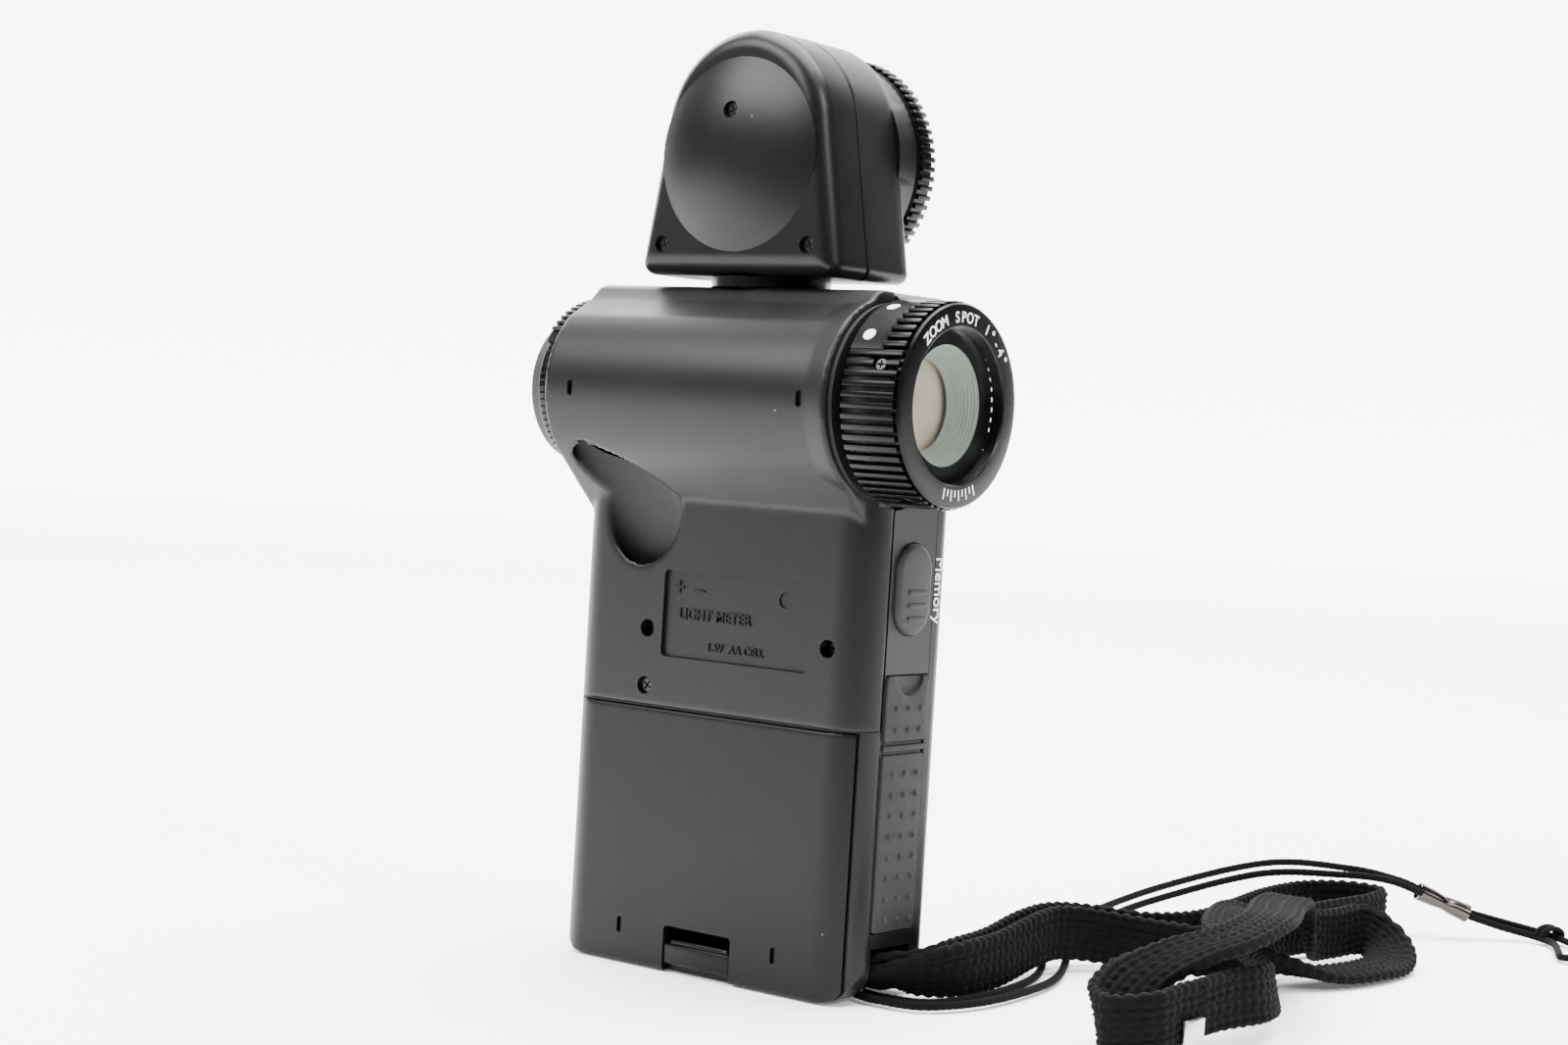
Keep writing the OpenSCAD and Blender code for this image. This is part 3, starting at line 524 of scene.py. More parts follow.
SHELL = plastic("shell_satin", (0.0042, 0.0042, 0.0046), 0.40, 3200, 0.2, dust=0.36, scratch=0.28)
# A darker, less shiny copy of the shell plastic: painted shade, on the door and the plate's words.
SATIN_PAINTED_SHADE = plastic("satin_painted_shade", (0.0030, 0.0030, 0.0034), 0.40, 3600, 0.16, dust=0.36, scratch=0.28,
               shine=0.16)
HEAD = plastic("head_satin", (0.0040, 0.0040, 0.0045), 0.34, 3600, 0.16, dust=0.37, scratch=0.27)
RING = plastic("ring_black", (0.0022, 0.0022, 0.0025), 0.28, 2400, 0.12, dust=0.34, shine=0.13)
INSIDE = plastic("inside_black", (0.004, 0.004, 0.004), 0.60, 1800, 0.3)
RUBBER = plastic("grip_rubber", (0.019, 0.0195, 0.0205), 0.62, 2200, 0.5, dust=0.38)
BUTTON = plastic("button_rubber", (0.020, 0.0205, 0.0225), 0.55, 2600, 0.3, dust=0.36)
print("plastics made:", len([m for m in bpy.data.materials if not m.name.endswith("_white")]))


# %% Plain, metal and glass finishes
def plain(name, colour, rough, metal=0.0):
    """A simple finish whose shade and gloss vary a little."""
    material = bpy.data.materials.new(name)
    material.use_nodes = True
    tree = material.node_tree
    shader = tree.nodes["Principled BSDF"]
    shader.inputs["Metallic"].default_value = metal
    where = node(tree, "ShaderNodeTexCoord")
    cloud = node(tree, "ShaderNodeTexNoise")
    cloud.inputs["Scale"].default_value = 700
    cloud.inputs["Detail"].default_value = 4
    gloss = node(tree, "ShaderNodeMapRange")
    gloss.inputs["To Min"].default_value = max(0.02, rough - 0.08)
    gloss.inputs["To Max"].default_value = rough + 0.1
    shade = node(tree, "ShaderNodeMix", data_type="RGBA")
    shade.inputs["A"].default_value = (*[c * 0.82 for c in colour], 1)
    shade.inputs["B"].default_value = (*colour, 1)
    tree.links.new(where.outputs["Object"], cloud.inputs["Vector"])
    tree.links.new(cloud.outputs["Fac"], gloss.inputs["Value"])
    tree.links.new(cloud.outputs["Fac"], shade.inputs["Factor"])
    tree.links.new(gloss.outputs["Result"], shader.inputs["Roughness"])
    tree.links.new(shade.outputs["Result"], shader.inputs["Base Color"])
    return material


def clear(name, colour, rough=0.02, ior=1.52, through=1.0):
    """Glass with a tint."""
    material = bpy.data.materials.new(name)
    material.use_nodes = True
    shader = material.node_tree.nodes["Principled BSDF"]
    shader.inputs["Base Color"].default_value = (*colour, 1)
    shader.inputs["Roughness"].default_value = rough
    shader.inputs["IOR"].default_value = ior
    shader.inputs["Transmission Weight"].default_value = through
    return material


PRINT = plain("white_print", (0.82, 0.82, 0.80), 0.5)
STEEL = plain("bright_steel", (0.50, 0.50, 0.52), 0.28, metal=1.0)
TIN = plain("dented_tin", (0.055, 0.05, 0.047), 0.22, metal=1.0)
BLACK_STEEL = plain("black_steel", (0.035, 0.034, 0.033), 0.36, metal=0.6)
GOLD = plain("contact_gold", (0.72, 0.52, 0.25), 0.3, metal=1.0)
JACKET = plain("cell_jacket", (0.55, 0.36, 0.10), 0.3)
BOARD = plain("board_green", (0.02, 0.11, 0.05), 0.4)
DISPLAY = plain("display_grey", (0.36, 0.40, 0.33), 0.35)
INK = plain("display_ink", (0.02, 0.025, 0.02), 0.5)
OPAL = plain("opal_white", (0.85, 0.85, 0.82), 0.45)
# The black baffle is painted light grey: painted light where its steps catch the light.
BAFFLE_PAINTED_LIGHT = plain("baffle_painted_light", (0.60, 0.62, 0.58), 0.42)
FRONT_GLASS = clear("front_glass", (0.80, 0.86, 0.83))
# The objective is an opaque pale pink: painted reflection in place of clear coated glass.
LENS_PAINTED_REFLECTION = plain("lens_painted_reflection", (0.98, 0.80, 0.68), 0.10)
WINDOW = clear("window_glass", (0.86, 0.90, 0.88))
print("materials:", len(bpy.data.materials))


# %% Woven finish of the braid and the cords
def woven(name, colour, fibre):
    """Dull yarn: fine fibres across the strands, and a soft sheen on their shoulders."""
    material = bpy.data.materials.new(name)
    material.use_nodes = True
    tree = material.node_tree
    shader = tree.nodes["Principled BSDF"]
    shader.inputs["Sheen Weight"].default_value = 0.01
    shader.inputs["Specular IOR Level"].default_value = 0.03
    shader.inputs["Sheen Roughness"].default_value = 0.5
    where = node(tree, "ShaderNodeTexCoord")
    hair = node(tree, "ShaderNodeTexNoise")
    hair.inputs["Scale"].default_value = fibre
    hair.inputs["Detail"].default_value = 4
    bump = node(tree, "ShaderNodeBump")
    bump.inputs["Strength"].default_value = 0.7
    bump.inputs["Distance"].default_value = 0.00012
    shade = node(tree, "ShaderNodeMix", data_type="RGBA")
    shade.inputs["A"].default_value = (*[c * 0.5 for c in colour], 1)
    shade.inputs["B"].default_value = (*[c * 1.7 for c in colour], 1)
    link = tree.links.new
    link(where.outputs["Object"], hair.inputs["Vector"])
    link(hair.outputs["Fac"], bump.inputs["Height"])
    link(bump.outputs["Normal"], shader.inputs["Normal"])
    link(hair.outputs["Fac"], shade.inputs["Factor"])
    link(shade.outputs["Result"], shader.inputs["Base Color"])
    shader.inputs["Roughness"].default_value = 0.82
    return material


BRAID = woven("braid_yarn", (0.0032, 0.0032, 0.0035), 2600)
CORD = woven("cord_yarn", (0.0035, 0.0032, 0.0032), 5200)


def finish_with(piece, material, body, slot, *nodes):
    """Gives a piece its finish and its body, and hides the CAD nodes it stands for. The slot is not used.
    """
    piece.data.materials.clear()
    piece.data.materials.append(material)
    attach(piece, body)
    if nodes:
        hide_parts(*nodes)
    return piece


print("yarns made")

# %% [markdown]
# ## The strap
# The braid is a flat tube of plaited yarn, doubled from the strap bar and gathered in a heap on
# the table. The route of each leg is a list of stops, and the fourth number is how far the
# braid leans: 0 on its edge and 90 flat. A spline runs through the stops. The plait is real
# relief: rows of slanting stitches, whose slant changes from row to row and so makes the chevrons.

# %% Routes of the strap and its cords
BRAID_WIDE, BRAID_THICK, CORD_D = 10.0, 2.4, 1.5
UPPER = [
    (28.5, 1.4, 6.6, 90), (34, 4, 6.2, 60), (37, 12, 5.6, 15), (36.4, 24, 5.6, 0),
    (34, 38, 6.8, 0), (33, 50, 7, 0), (36, 60, 6, 0), (44, 66, 5.3, 0),
    (48, 78, 5.2, 0), (45.5, 96, 5.3, 0), (43, 113, 5.4, 0), (43.5, 129, 5.4, 0),
    (49, 138, 5.2, 0), (56, 137, 5.2, 0), (58.5, 127, 5.2, 0), (57.5, 112, 5.2, 0),
    (57, 98, 5.3, 0), (57.5, 85, 6.4, 20), (59, 75, 10.6, 60), (62, 65, 12.6, 88),
    (67, 54, 12.4, 88), (73, 46, 10.8, 70), (80, 41, 8, 35), (86, 34, 7.2, 12),
    (88.4, 26, 7.6, 8), (87.4, 18, 7.6, 4), (87, 13, 7.4, 0), (87, 7.75, 7.2, 0)]
LOWER = [
    (28.5, 1.4, 2.6, 90), (35, 1.8, 4.4, 50), (40.4, 9, 5.5, 12), (40, 22, 5.6, 0),
    (37.4, 38, 6.8, 0), (36.4, 48, 7, 0), (40, 56, 6, 0), (49, 60, 5.3, 0),
    (58, 63, 5.3, 20), (66.5, 69, 4.4, 60), (72.5, 79, 2, 88), (75, 92, 1.5, 90),
    (74, 104, 1.5, 90), (69.5, 111.5, 3.2, 65), (64.6, 111.5, 5.4, 15), (63.6, 102, 5.5, 0),
    (64, 92, 6.4, 10), (65.5, 83, 10, 45), (68.5, 73, 15, 85), (73, 60, 16.2, 90),
    (79, 47, 16.9, 90), (83.5, 35, 17.5, 90), (84.5, 23, 16.4, 85), (81, 13, 14.4, 75),
    (77, 5, 10.5, 55), (77, -4, 6.4, 20), (82, -9.5, 6, 0), (87, -5, 6.8, 0),
    (87, 2, 7.2, 0), (87, 7.65, 7.2, 0)]
CORD_BACK = [
    (29, -0.4, 0.9), (34, -1, 0.9), (41, 2, 0.9), (43, 16, 0.9), (40, 34, 0.9), (32, 50, 0.9),
    (22, 64, 1.1), (15.8, 88, 2.4), (17, 118, 6), (30, 138, 11), (46, 143, 11.7), (56, 144, 10.8),
    (60.8, 145.6, 9.2)]
CORD_FRONT = [
    (29, -2.6, 0.9), (34, -3.6, 0.9), (42, -1, 0.9), (46, 12, 0.9), (43.6, 34, 0.9), (35, 53, 0.9),
    (25.5, 68, 1.2), (20, 90, 2.6), (24, 107, 6), (37, 122, 11.2), (50, 130, 12.2), (57, 137.5, 11.4),
    (61.6, 144.2, 8.8)]
CORD_TAIL = [
    (67, 151.8, 5.4), (72.4, 158.4, 3.4), (79.5, 163.2, 1.6), (86.5, 160.5, 0.9), (92.5, 153, 0.9),
    (94.4, 146, 0.9), (91.4, 143.6, 0.9), (88.6, 149, 0.9), (84, 157.4, 0.9), (78.6, 160.2, 1.2),
    (73.4, 156.4, 2.6), (68, 150.8, 4.8)]
FERRULE_FROM, FERRULE_TO = Vector((60.1, 145.1, 9)), Vector((68, 151.6, 5))
print("stops on the strap:", len(UPPER) + len(LOWER))


# %% A smooth line through the stops
def through(stops, step):
    """Even points on a Catmull-Rom spline through the stops, every number of a stop included."""
    ends = [[2 * a - b for a, b in zip(stops[0], stops[1])], *stops,
            [2 * a - b for a, b in zip(stops[-1], stops[-2])]]
    dense = []
    parts = 40
    for p0, p1, p2, p3 in zip(ends, ends[1:], ends[2:], ends[3:]):
        for i in range(parts):
            t = i / parts
            dense.append([0.5 * (2 * b + (c - a) * t + (2 * a - 5 * b + 4 * c - d) * t * t
                                 + (3 * b - a - 3 * c + d) * t ** 3)
                          for a, b, c, d in zip(p0, p1, p2, p3)])
    dense.append(list(stops[-1]))
    line, left = [dense[0]], step
    for a, b in zip(dense, dense[1:]):
        gap = (Vector(b[:3]) - Vector(a[:3])).length
        while gap > 0 and left <= gap:
            line.append([u + (v - u) * left / gap for u, v in zip(a, b)])
            left += step
        left -= gap
    return line


def headings(line):
    """The direction of the line at each of its points."""
    return [(Vector(line[min(i + 1, len(line) - 1)][:3]) - Vector(line[max(i - 1, 0)][:3])).normalized()
            for i in range(len(line))]


def long_skin(name, rings):
    """A closed skin over rings of points, one after another."""
    n, m = len(rings[0]), len(rings)
    points = [p for ring in rings for p in ring]
    faces = [(i * n + k, i * n + (k + 1) % n, (i + 1) * n + (k + 1) % n, (i + 1) * n + k)
             for i in range(m - 1) for k in range(n)]
    faces += [tuple(range(n)), tuple(range(m * n - 1, (m - 1) * n - 1, -1))]
    return outward(mesh_object(name, points, faces), merge=0.0001)


def length_of(line):
    """The length of a line, in metres."""
    return sum((Vector(b[:3]) - Vector(a[:3])).length for a, b in zip(line, line[1:])) * MM


print("leg lengths:", round(length_of(UPPER), 3), round(length_of(LOWER), 3))


# %% The plaited braid
ROW_WIDE = 1.25          # one row of stitches
STITCH_LONG = 2.3        # one stitch along the braid
RELIEF = 0.6
BRAID_STEP = 0.42        # from one ring of the braid's skin to the next


def stitch_height(along, across):
    """Relief of the plait: rounded stitches that slant one way in one row, and back in the next."""
    row = math.floor(across / ROW_WIDE)
    inside = (across / ROW_WIDE - row) * 2 - 1
    slant = 0.30 * inside * (1 if row % 2 else -1)
    lobe = abs(math.cos(math.pi * (along / STITCH_LONG + slant))) ** 0.7
    return RELIEF * (lobe * (1 - 0.85 * inside * inside) - 0.5)


def band_outline(half_w, half_t, spacing):
    """Even points round a flat band with round edges, as (w, t, out_w, out_t)."""
    flat = half_w - half_t
    bend = math.pi * half_t
    whole = 4 * flat + 2 * bend
    count = round(whole / spacing)
    outline = []
    for k in range(count):
        d = whole * k / count
        if d < 2 * flat:
            outline.append((flat - d, half_t, 0, 1))
        elif d < 2 * flat + bend:
            a = math.pi / 2 + (d - 2 * flat) / half_t
            outline.append((-flat + half_t * math.cos(a), half_t * math.sin(a), math.cos(a), math.sin(a)))
        elif d < 4 * flat + bend:
            outline.append((-flat + (d - 2 * flat - bend), -half_t, 0, -1))
        else:
            a = -math.pi / 2 + (d - 4 * flat - bend) / half_t
            outline.append((flat + half_t * math.cos(a), half_t * math.sin(a), math.cos(a), math.sin(a)))
    return outline


def braid_leg(name, stops):
    """A leg of the braid, leaning as its route says, and never below the table."""
    line = through(stops, BRAID_STEP)
    outline = band_outline(BRAID_WIDE / 2 - RELIEF / 2, BRAID_THICK / 2 - RELIEF / 2, 0.33)
    rings = []
    for i, (stop, ahead) in enumerate(zip(line, headings(line))):
        spot, lean = Vector(stop[:3]), math.radians(stop[3])
        side = ahead.cross(Vector((0, 0, 1))).normalized()
        up = side.cross(ahead)
        wide = up * math.cos(lean) + side * math.sin(lean)
        thin = ahead.cross(wide)
        ring = []
        for w, t, out_w, out_t in outline:
            rise = stitch_height(i * BRAID_STEP, w + (0.8 if t < 0 else 0))
            ring.append(spot + wide * (w + out_w * rise) + thin * (t + out_t * rise))
        rings.append([Vector((p.x, p.y, max(p.z, 0.02))) for p in ring])
    piece = smooth(long_skin(name, rings), 80)
    return piece, [Vector(p[:3]) * MM for p in line]


def thin_cord(name, stops):
    """A round cord with the crossing yarns of its own small braid."""
    step, sides = 0.34, 14
    line = through(stops, step)
    rings = []
    for i, (stop, ahead) in enumerate(zip(line, headings(line))):
        side = ahead.cross(Vector((0, 0, 1))).normalized()
        up = side.cross(ahead)
        ring = []
        for k in range(sides):
            a = 2 * math.pi * k / sides
            turn = math.pi * i * step / 1.3
            yarn = math.cos(3 * a + turn) * math.cos(3 * a - turn)
            r = CORD_D / 2 - 0.05 + 0.06 * yarn
            ring.append(Vector(stop) + side * (r * math.cos(a)) + up * (r * math.sin(a)))
        rings.append(ring)
    piece = smooth(long_skin(name, rings), 80)
    return piece, [Vector(p) * MM for p in line]


upper, upper_line = braid_leg("braid_leg_upper", UPPER)
lower, lower_line = braid_leg("braid_leg_lower", LOWER)
cord_back, back_line = thin_cord("cord_strand_back", CORD_BACK)
cord_front, front_line = thin_cord("cord_strand_front", CORD_FRONT)
cord_tail, tail_line = thin_cord("cord_tail_loop", CORD_TAIL)
finish_with(upper, BRAID, "root", "woven_braid", "strap_leg_upper")
finish_with(lower, BRAID, "root", "woven_braid", "strap_leg_lower")
finish_with(cord_back, CORD, "root", "woven_braid", "loop_cord_back")
finish_with(cord_front, CORD, "root", "woven_braid", "loop_cord_front")
finish_with(cord_tail, CORD, "root", "woven_braid", "loop_cord_tail")
print("braid faces:", len(upper.data.polygons) + len(lower.data.polygons))

# %% [markdown]
# ## The crimp, the end clip and the knot
# The two thin strands are crimped in a short tin tube with a dent from the pliers. Beyond it the
# cord goes on as a loop, held by a knot. The braid's two ends meet in a folded metal clip.


# %% Crimp, end clip and knot
def crimp():
    """A tin tube, oval where the pliers pressed it, with a dent in its middle."""
    run = FERRULE_TO - FERRULE_FROM
    ahead = run.normalized()
    side = ahead.cross(Vector((0, 0, 1))).normalized()
    up = side.cross(ahead)
    steps, sides, wall = 36, 28, 0.32

    def ring(t, shrink):
        """One ring of the tube, at t from 0 to 1 along it."""
        pinch = 1 - 0.16 * math.exp(-((t - 0.5) / 0.16) ** 2)
        dent = 0.35 * math.exp(-((t - 0.55) / 0.07) ** 2)
        flare = 0.12 * (abs(2 * t - 1) ** 6)
        points = []
        for k in range(sides):
            a = 2 * math.pi * k / sides
            r_side = 2.05 + flare - shrink
            r_up = (1.75 + flare) * pinch - shrink
            push = dent * max(0.0, math.cos(a - 0.9)) ** 8
            points.append(FERRULE_FROM + run * t + side * ((r_side - push) * math.cos(a))
                          + up * ((r_up - push) * math.sin(a)))
        return points

    outer = [ring(i / steps, 0) for i in range(steps + 1)]
    inner = [ring(i / steps, wall) for i in range(steps, -1, -1)]
    rings = outer + inner
    n, m = sides, len(rings)
    faces = [(i * n + k, i * n + (k + 1) % n, (i + 1) % m * n + (k + 1) % n, (i + 1) % m * n + k)
             for i in range(m) for k in range(n)]
    return smooth(outward(mesh_object("cord_crimp", [p for r in rings for p in r], faces)), 40)


def end_clip():
    """A strip of sheet metal folded into a U round the two ends of the braid."""
    low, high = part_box("strap_ferrule")
    (x0, y0, z0), (x1, y1, z1) = [c / MM for c in low], [c / MM for c in high]
    plate = 0.8
    shell = block("braid_clasp", (x0, y0, z0), (x1, y1, z1))
    combine(shell, block("hole", (x0 + plate, y0 - 1, z0 + plate), (x1 - plate, y1 + 1, z1 + 1)))
    return smooth(soften(shell, 0.25, 2))


def knot():
    """One turn of the cord round the two strands of the tail."""
    centre = Vector((81.5, 161.8, 1.9))
    ahead = Vector((0.93, -0.3, -0.12)).normalized()
    side = ahead.cross(Vector((0, 0, 1))).normalized()
    up = side.cross(ahead)
    turns, steps, sides = 1.6, 60, 10
    rings = []
    for i in range(steps + 1):
        a = 2 * math.pi * turns * i / steps
        out = side * math.cos(a) + up * (0.62 * math.sin(a))
        spot = centre + out * 2.3 + ahead * (i / steps - 0.5) * 2.4
        rings.append([spot + out * (0.72 * math.cos(2 * math.pi * k / sides))
                      + ahead * (0.72 * math.sin(2 * math.pi * k / sides)) for k in range(sides)])
    return smooth(long_skin("cord_knot", rings), 60)


tin = finish_with(crimp(), TIN, "root", "steel", "cord_ferrule")
clip = finish_with(end_clip(), STEEL, "root", "steel", "strap_ferrule")
tie = finish_with(knot(), CORD, "root", "woven_braid")
length_of(through(UPPER, 1.0))
length_of(through(LOWER, 1.0))
length_of(through(CORD_BACK, 1.0))
length_of(through(CORD_FRONT, 1.0))
length_of(through(CORD_TAIL, 1.0))
print("cord lengths:", [round(length_of(through(route, 1.0)), 3)
                        for route in (UPPER, LOWER, CORD_BACK, CORD_FRONT, CORD_TAIL)])

# %% [markdown]
# ## Patterns that repeat: Geometry Nodes
# The zoom ring's ribs, the dome ring's teeth and the ribs of the eyepiece ring are one rib copied
# round an axis. The dots on the grip are one stud copied on a grid. Both copies are made by a small
# node tree that ends in Realize Instances and Set Material, and the result is kept as a mesh.


# %% Node tree: ribs round an axis
def tree_with(name, inputs):
    """An empty geometry tree with its inputs."""
    tree = bpy.data.node_groups.new(name, "GeometryNodeTree")
    tree.interface.new_socket(name="Geometry", in_out="INPUT", socket_type="NodeSocketGeometry")
    for label, kind in inputs:
        tree.interface.new_socket(name=label, in_out="INPUT", socket_type=kind)
    tree.interface.new_socket(name="Geometry", in_out="OUTPUT", socket_type="NodeSocketGeometry")
    return tree, tree.nodes.new("NodeGroupInput"), tree.nodes.new("NodeGroupOutput")


def number(tree, operation, a, b=None):
    """A math node. a and b are numbers or sockets."""
    made = tree.nodes.new("ShaderNodeMath")
    made.operation = operation
    for place, value in enumerate((a, b)):
        if hasattr(value, "links"):
            tree.links.new(value, made.inputs[place])
        elif value is not None:
            made.inputs[place].default_value = value
    return made.outputs[0]


def ribs_tree():
    """Copies an object, modelled at the top of the ring, round the X axis."""
    tree, given, result = tree_with("ribs_round_axis", [
        ("Rib", "NodeSocketObject"), ("Count", "NodeSocketInt"), ("Start", "NodeSocketFloat"),
        ("Step", "NodeSocketFloat"), ("Finish", "NodeSocketMaterial")])
    link = tree.links.new
    points = node(tree, "GeometryNodePoints")
    link(given.outputs["Count"], points.inputs["Count"])
    info = node(tree, "GeometryNodeObjectInfo")
    link(given.outputs["Rib"], info.inputs["Object"])
    index = node(tree, "GeometryNodeInputIndex")
    angle = number(tree, "ADD", given.outputs["Start"],
                   number(tree, "MULTIPLY", index.outputs[0], given.outputs["Step"]))
    turn = node(tree, "ShaderNodeCombineXYZ")
    link(number(tree, "RADIANS", angle), turn.inputs["X"])
    copies = node(tree, "GeometryNodeInstanceOnPoints")
    link(points.outputs[0], copies.inputs["Points"])
    link(info.outputs["Geometry"], copies.inputs["Instance"])
    link(turn.outputs[0], copies.inputs["Rotation"])
    real = node(tree, "GeometryNodeRealizeInstances")
    paint = node(tree, "GeometryNodeSetMaterial")
    link(copies.outputs[0], real.inputs[0])
    link(real.outputs[0], paint.inputs["Geometry"])
    link(given.outputs["Finish"], paint.inputs["Material"])
    link(paint.outputs[0], result.inputs[0])
    return tree


def grid_tree():
    """Copies an object on a grid of rows and columns in the YZ plane."""
    tree, given, result = tree_with("studs_on_grid", [
        ("Stud", "NodeSocketObject"), ("Columns", "NodeSocketInt"), ("Rows", "NodeSocketInt"),
        ("Wide", "NodeSocketFloat"), ("High", "NodeSocketFloat"), ("Finish", "NodeSocketMaterial")])
    link = tree.links.new
    grid = node(tree, "GeometryNodeMeshGrid")
    link(given.outputs["Wide"], grid.inputs["Size X"])
    link(given.outputs["High"], grid.inputs["Size Y"])
    link(given.outputs["Columns"], grid.inputs["Vertices X"])
    link(given.outputs["Rows"], grid.inputs["Vertices Y"])
    info = node(tree, "GeometryNodeObjectInfo")
    link(given.outputs["Stud"], info.inputs["Object"])
    copies = node(tree, "GeometryNodeInstanceOnPoints")
    link(grid.outputs[0], copies.inputs["Points"])
    link(info.outputs["Geometry"], copies.inputs["Instance"])
    real = node(tree, "GeometryNodeRealizeInstances")
    paint = node(tree, "GeometryNodeSetMaterial")
    link(copies.outputs[0], real.inputs[0])
    link(real.outputs[0], paint.inputs["Geometry"])
    link(given.outputs["Finish"], paint.inputs["Material"])
    link(paint.outputs[0], result.inputs[0])
    return tree


RIBS, GRID = ribs_tree(), grid_tree()


def grown(name, tree, move, **inputs):
    """Runs a node tree with the given inputs, then moves the mesh to its place with a matrix."""
    carrier = mesh_object(name, [], [])
    maker = carrier.modifiers.new("grow", "NODES")
    maker.node_group = tree
    keys = {item.name: item.identifier for item in tree.interface.items_tree if item.in_out == "INPUT"}
    for label, value in inputs.items():
        maker[keys[label]] = value
    bake(carrier)
    carrier.data.transform(move)
    return carrier


BARREL_MOVE = Matrix.Translation(Vector((0, BARREL_Y, BARREL_Z)) * MM)
HEAD_MOVE = Matrix.Translation(Vector((0, 0, DOME_Z)) * MM) @ Matrix.Rotation(math.radians(90), 4, "Z")
print("node trees:", RIBS.name, GRID.name)


# %% A rib to copy
def rib(name, start, end, radius, wide, tall, rounding=0.18):
    """A bar lying along X at the top of a ring, with rounded edges."""
    bar = block(name, (start, -wide / 2, radius - 0.4), (end, wide / 2, radius + tall))
    return soften(bar, rounding, 2)


def ring_of_ribs(name, source, count, start, step, move, finish):
    """start and step are degrees, and 90 is straight up, growing towards the back."""
    made = grown(name, RIBS, move, Rib=source, Count=count, Start=start - 90, Step=step, Finish=finish)
    bpy.data.objects.remove(source)
    return smooth(made, 40)


print("rib maker ready")

# %% [markdown]
# ## The back shell
# The back of the body and the round housing of the spot tube are one moulding. It is two simple
# solids run together: a slab with round corners, and a bar with the barrel's outline. A long egg
# takes out the thumb rest. A voxel remesh and some smoothing turn the joint into one skin with the
# soft inner corners of a moulding. Wells and recesses are cut afterwards, so that they stay crisp.


# %% Outline of the barrel, on (y, z)
def barrel_outline():
    """From the deck over the round back and down the slant, to the seam with the middle frame."""
    deck = [(SEAM_BACK, TOP), (-8.2, TOP), (-9.7, TOP - 0.5), (-10.8, TOP - 1.6), (-12.0, TOP - 2.7),
            (-14.0, TOP - 4.0)]
    bulge = [on_barrel(a, BARREL_R) for a in range(132, 226, 3)]
    foot = (SEAM_BACK, BARREL_Z + BARREL_Y - BARREL_R * math.sqrt(2) - SEAM_BACK)
    return deck + bulge + [foot]


def slab_outline():
    """The lower body from above: flat back, round upright edges."""
    r = SEAM_BACK - BACK
    left = [(LEFT + r - r * math.sin(a), BACK + r - r * math.cos(a))
            for a in (math.radians(90 * i / 12) for i in range(13))]
    right = [(RIGHT - r + r * math.sin(a), BACK + r - r * math.cos(a))
             for a in (math.radians(90 * i / 12) for i in range(13))]
    return left[::-1] + right


def remeshed(piece, voxel, rounds):
    """One even skin over the piece, smoothed a number of rounds."""
    step = piece.modifiers.new("remesh", "REMESH")
    step.mode = "VOXEL"
    step.voxel_size = voxel * MM
    ease = piece.modifiers.new("ease", "SMOOTH")
    ease.factor = 0.5
    ease.iterations = rounds
    return bake(piece)


print("barrel outline points:", len(barrel_outline()))


# %% Back shell
def flat_on_top(a, b, c):
    """An outline on (x, y), pushed along Z."""
    return (a, b, c)


def back_shell():
    """The slab and the barrel as one solid, with the thumb rest taken out."""
    slab = prism("slab", slab_outline(), flat_on_top, DOOR_TOP + 0.15, 92)
    barrel = prism("barrel", barrel_outline(), on_side, LEFT + 0.4, 30.2)
    combine(slab, barrel, "UNION")
    collar = turned("collar", [(25, 10), (25, BARREL_R - 0.1), (30.2, BARREL_R + 0.55), (30.2, 10)],
                    round_tube, 96)
    front_half = block("front_half", (20, SEAM_BACK, 70), (40, 30, 130))
    combine(collar, front_half)
    combine(slab, collar, "UNION")
    ball = bmesh.new()
    lean = Vector((0.349, -0.429, 0.165))
    place = Matrix.Translation(Vector((-17.05, -12.26, 81.0)) * MM) @ Matrix.Rotation(lean.length, 4, lean)
    bmesh.ops.create_uvsphere(ball, u_segments=64, v_segments=64, radius=MM,
                              matrix=place @ Matrix.Diagonal((8.56, 3.46, 21.4, 1)))
    mesh = bpy.data.meshes.new("thumb")
    ball.to_mesh(mesh)
    ball.free()
    combine(slab, linked("thumb", mesh))
    return slab


shell = remeshed(back_shell(), 0.42, 6)
print("back shell faces:", len(shell.data.polygons))


# %% Recesses, wells and marks of the back shell
def stadium(wide, high, x, z, steps=12):
    """A slot's outline with round ends, upright."""
    r = wide / 2
    top = [(x + r * math.cos(math.pi * i / steps), z + high / 2 - r + r * math.sin(math.pi * i / steps))
           for i in range(steps + 1)]
    low = [(x - r * math.cos(math.pi * i / steps), z - high / 2 + r - r * math.sin(math.pi * i / steps))
           for i in range(steps + 1)]
    return top + low


def disc(radius, x, z, steps=40):
    """A circle's outline."""
    return [(x + radius * math.cos(2 * math.pi * i / steps), z + radius * math.sin(2 * math.pi * i / steps))
            for i in range(steps)]


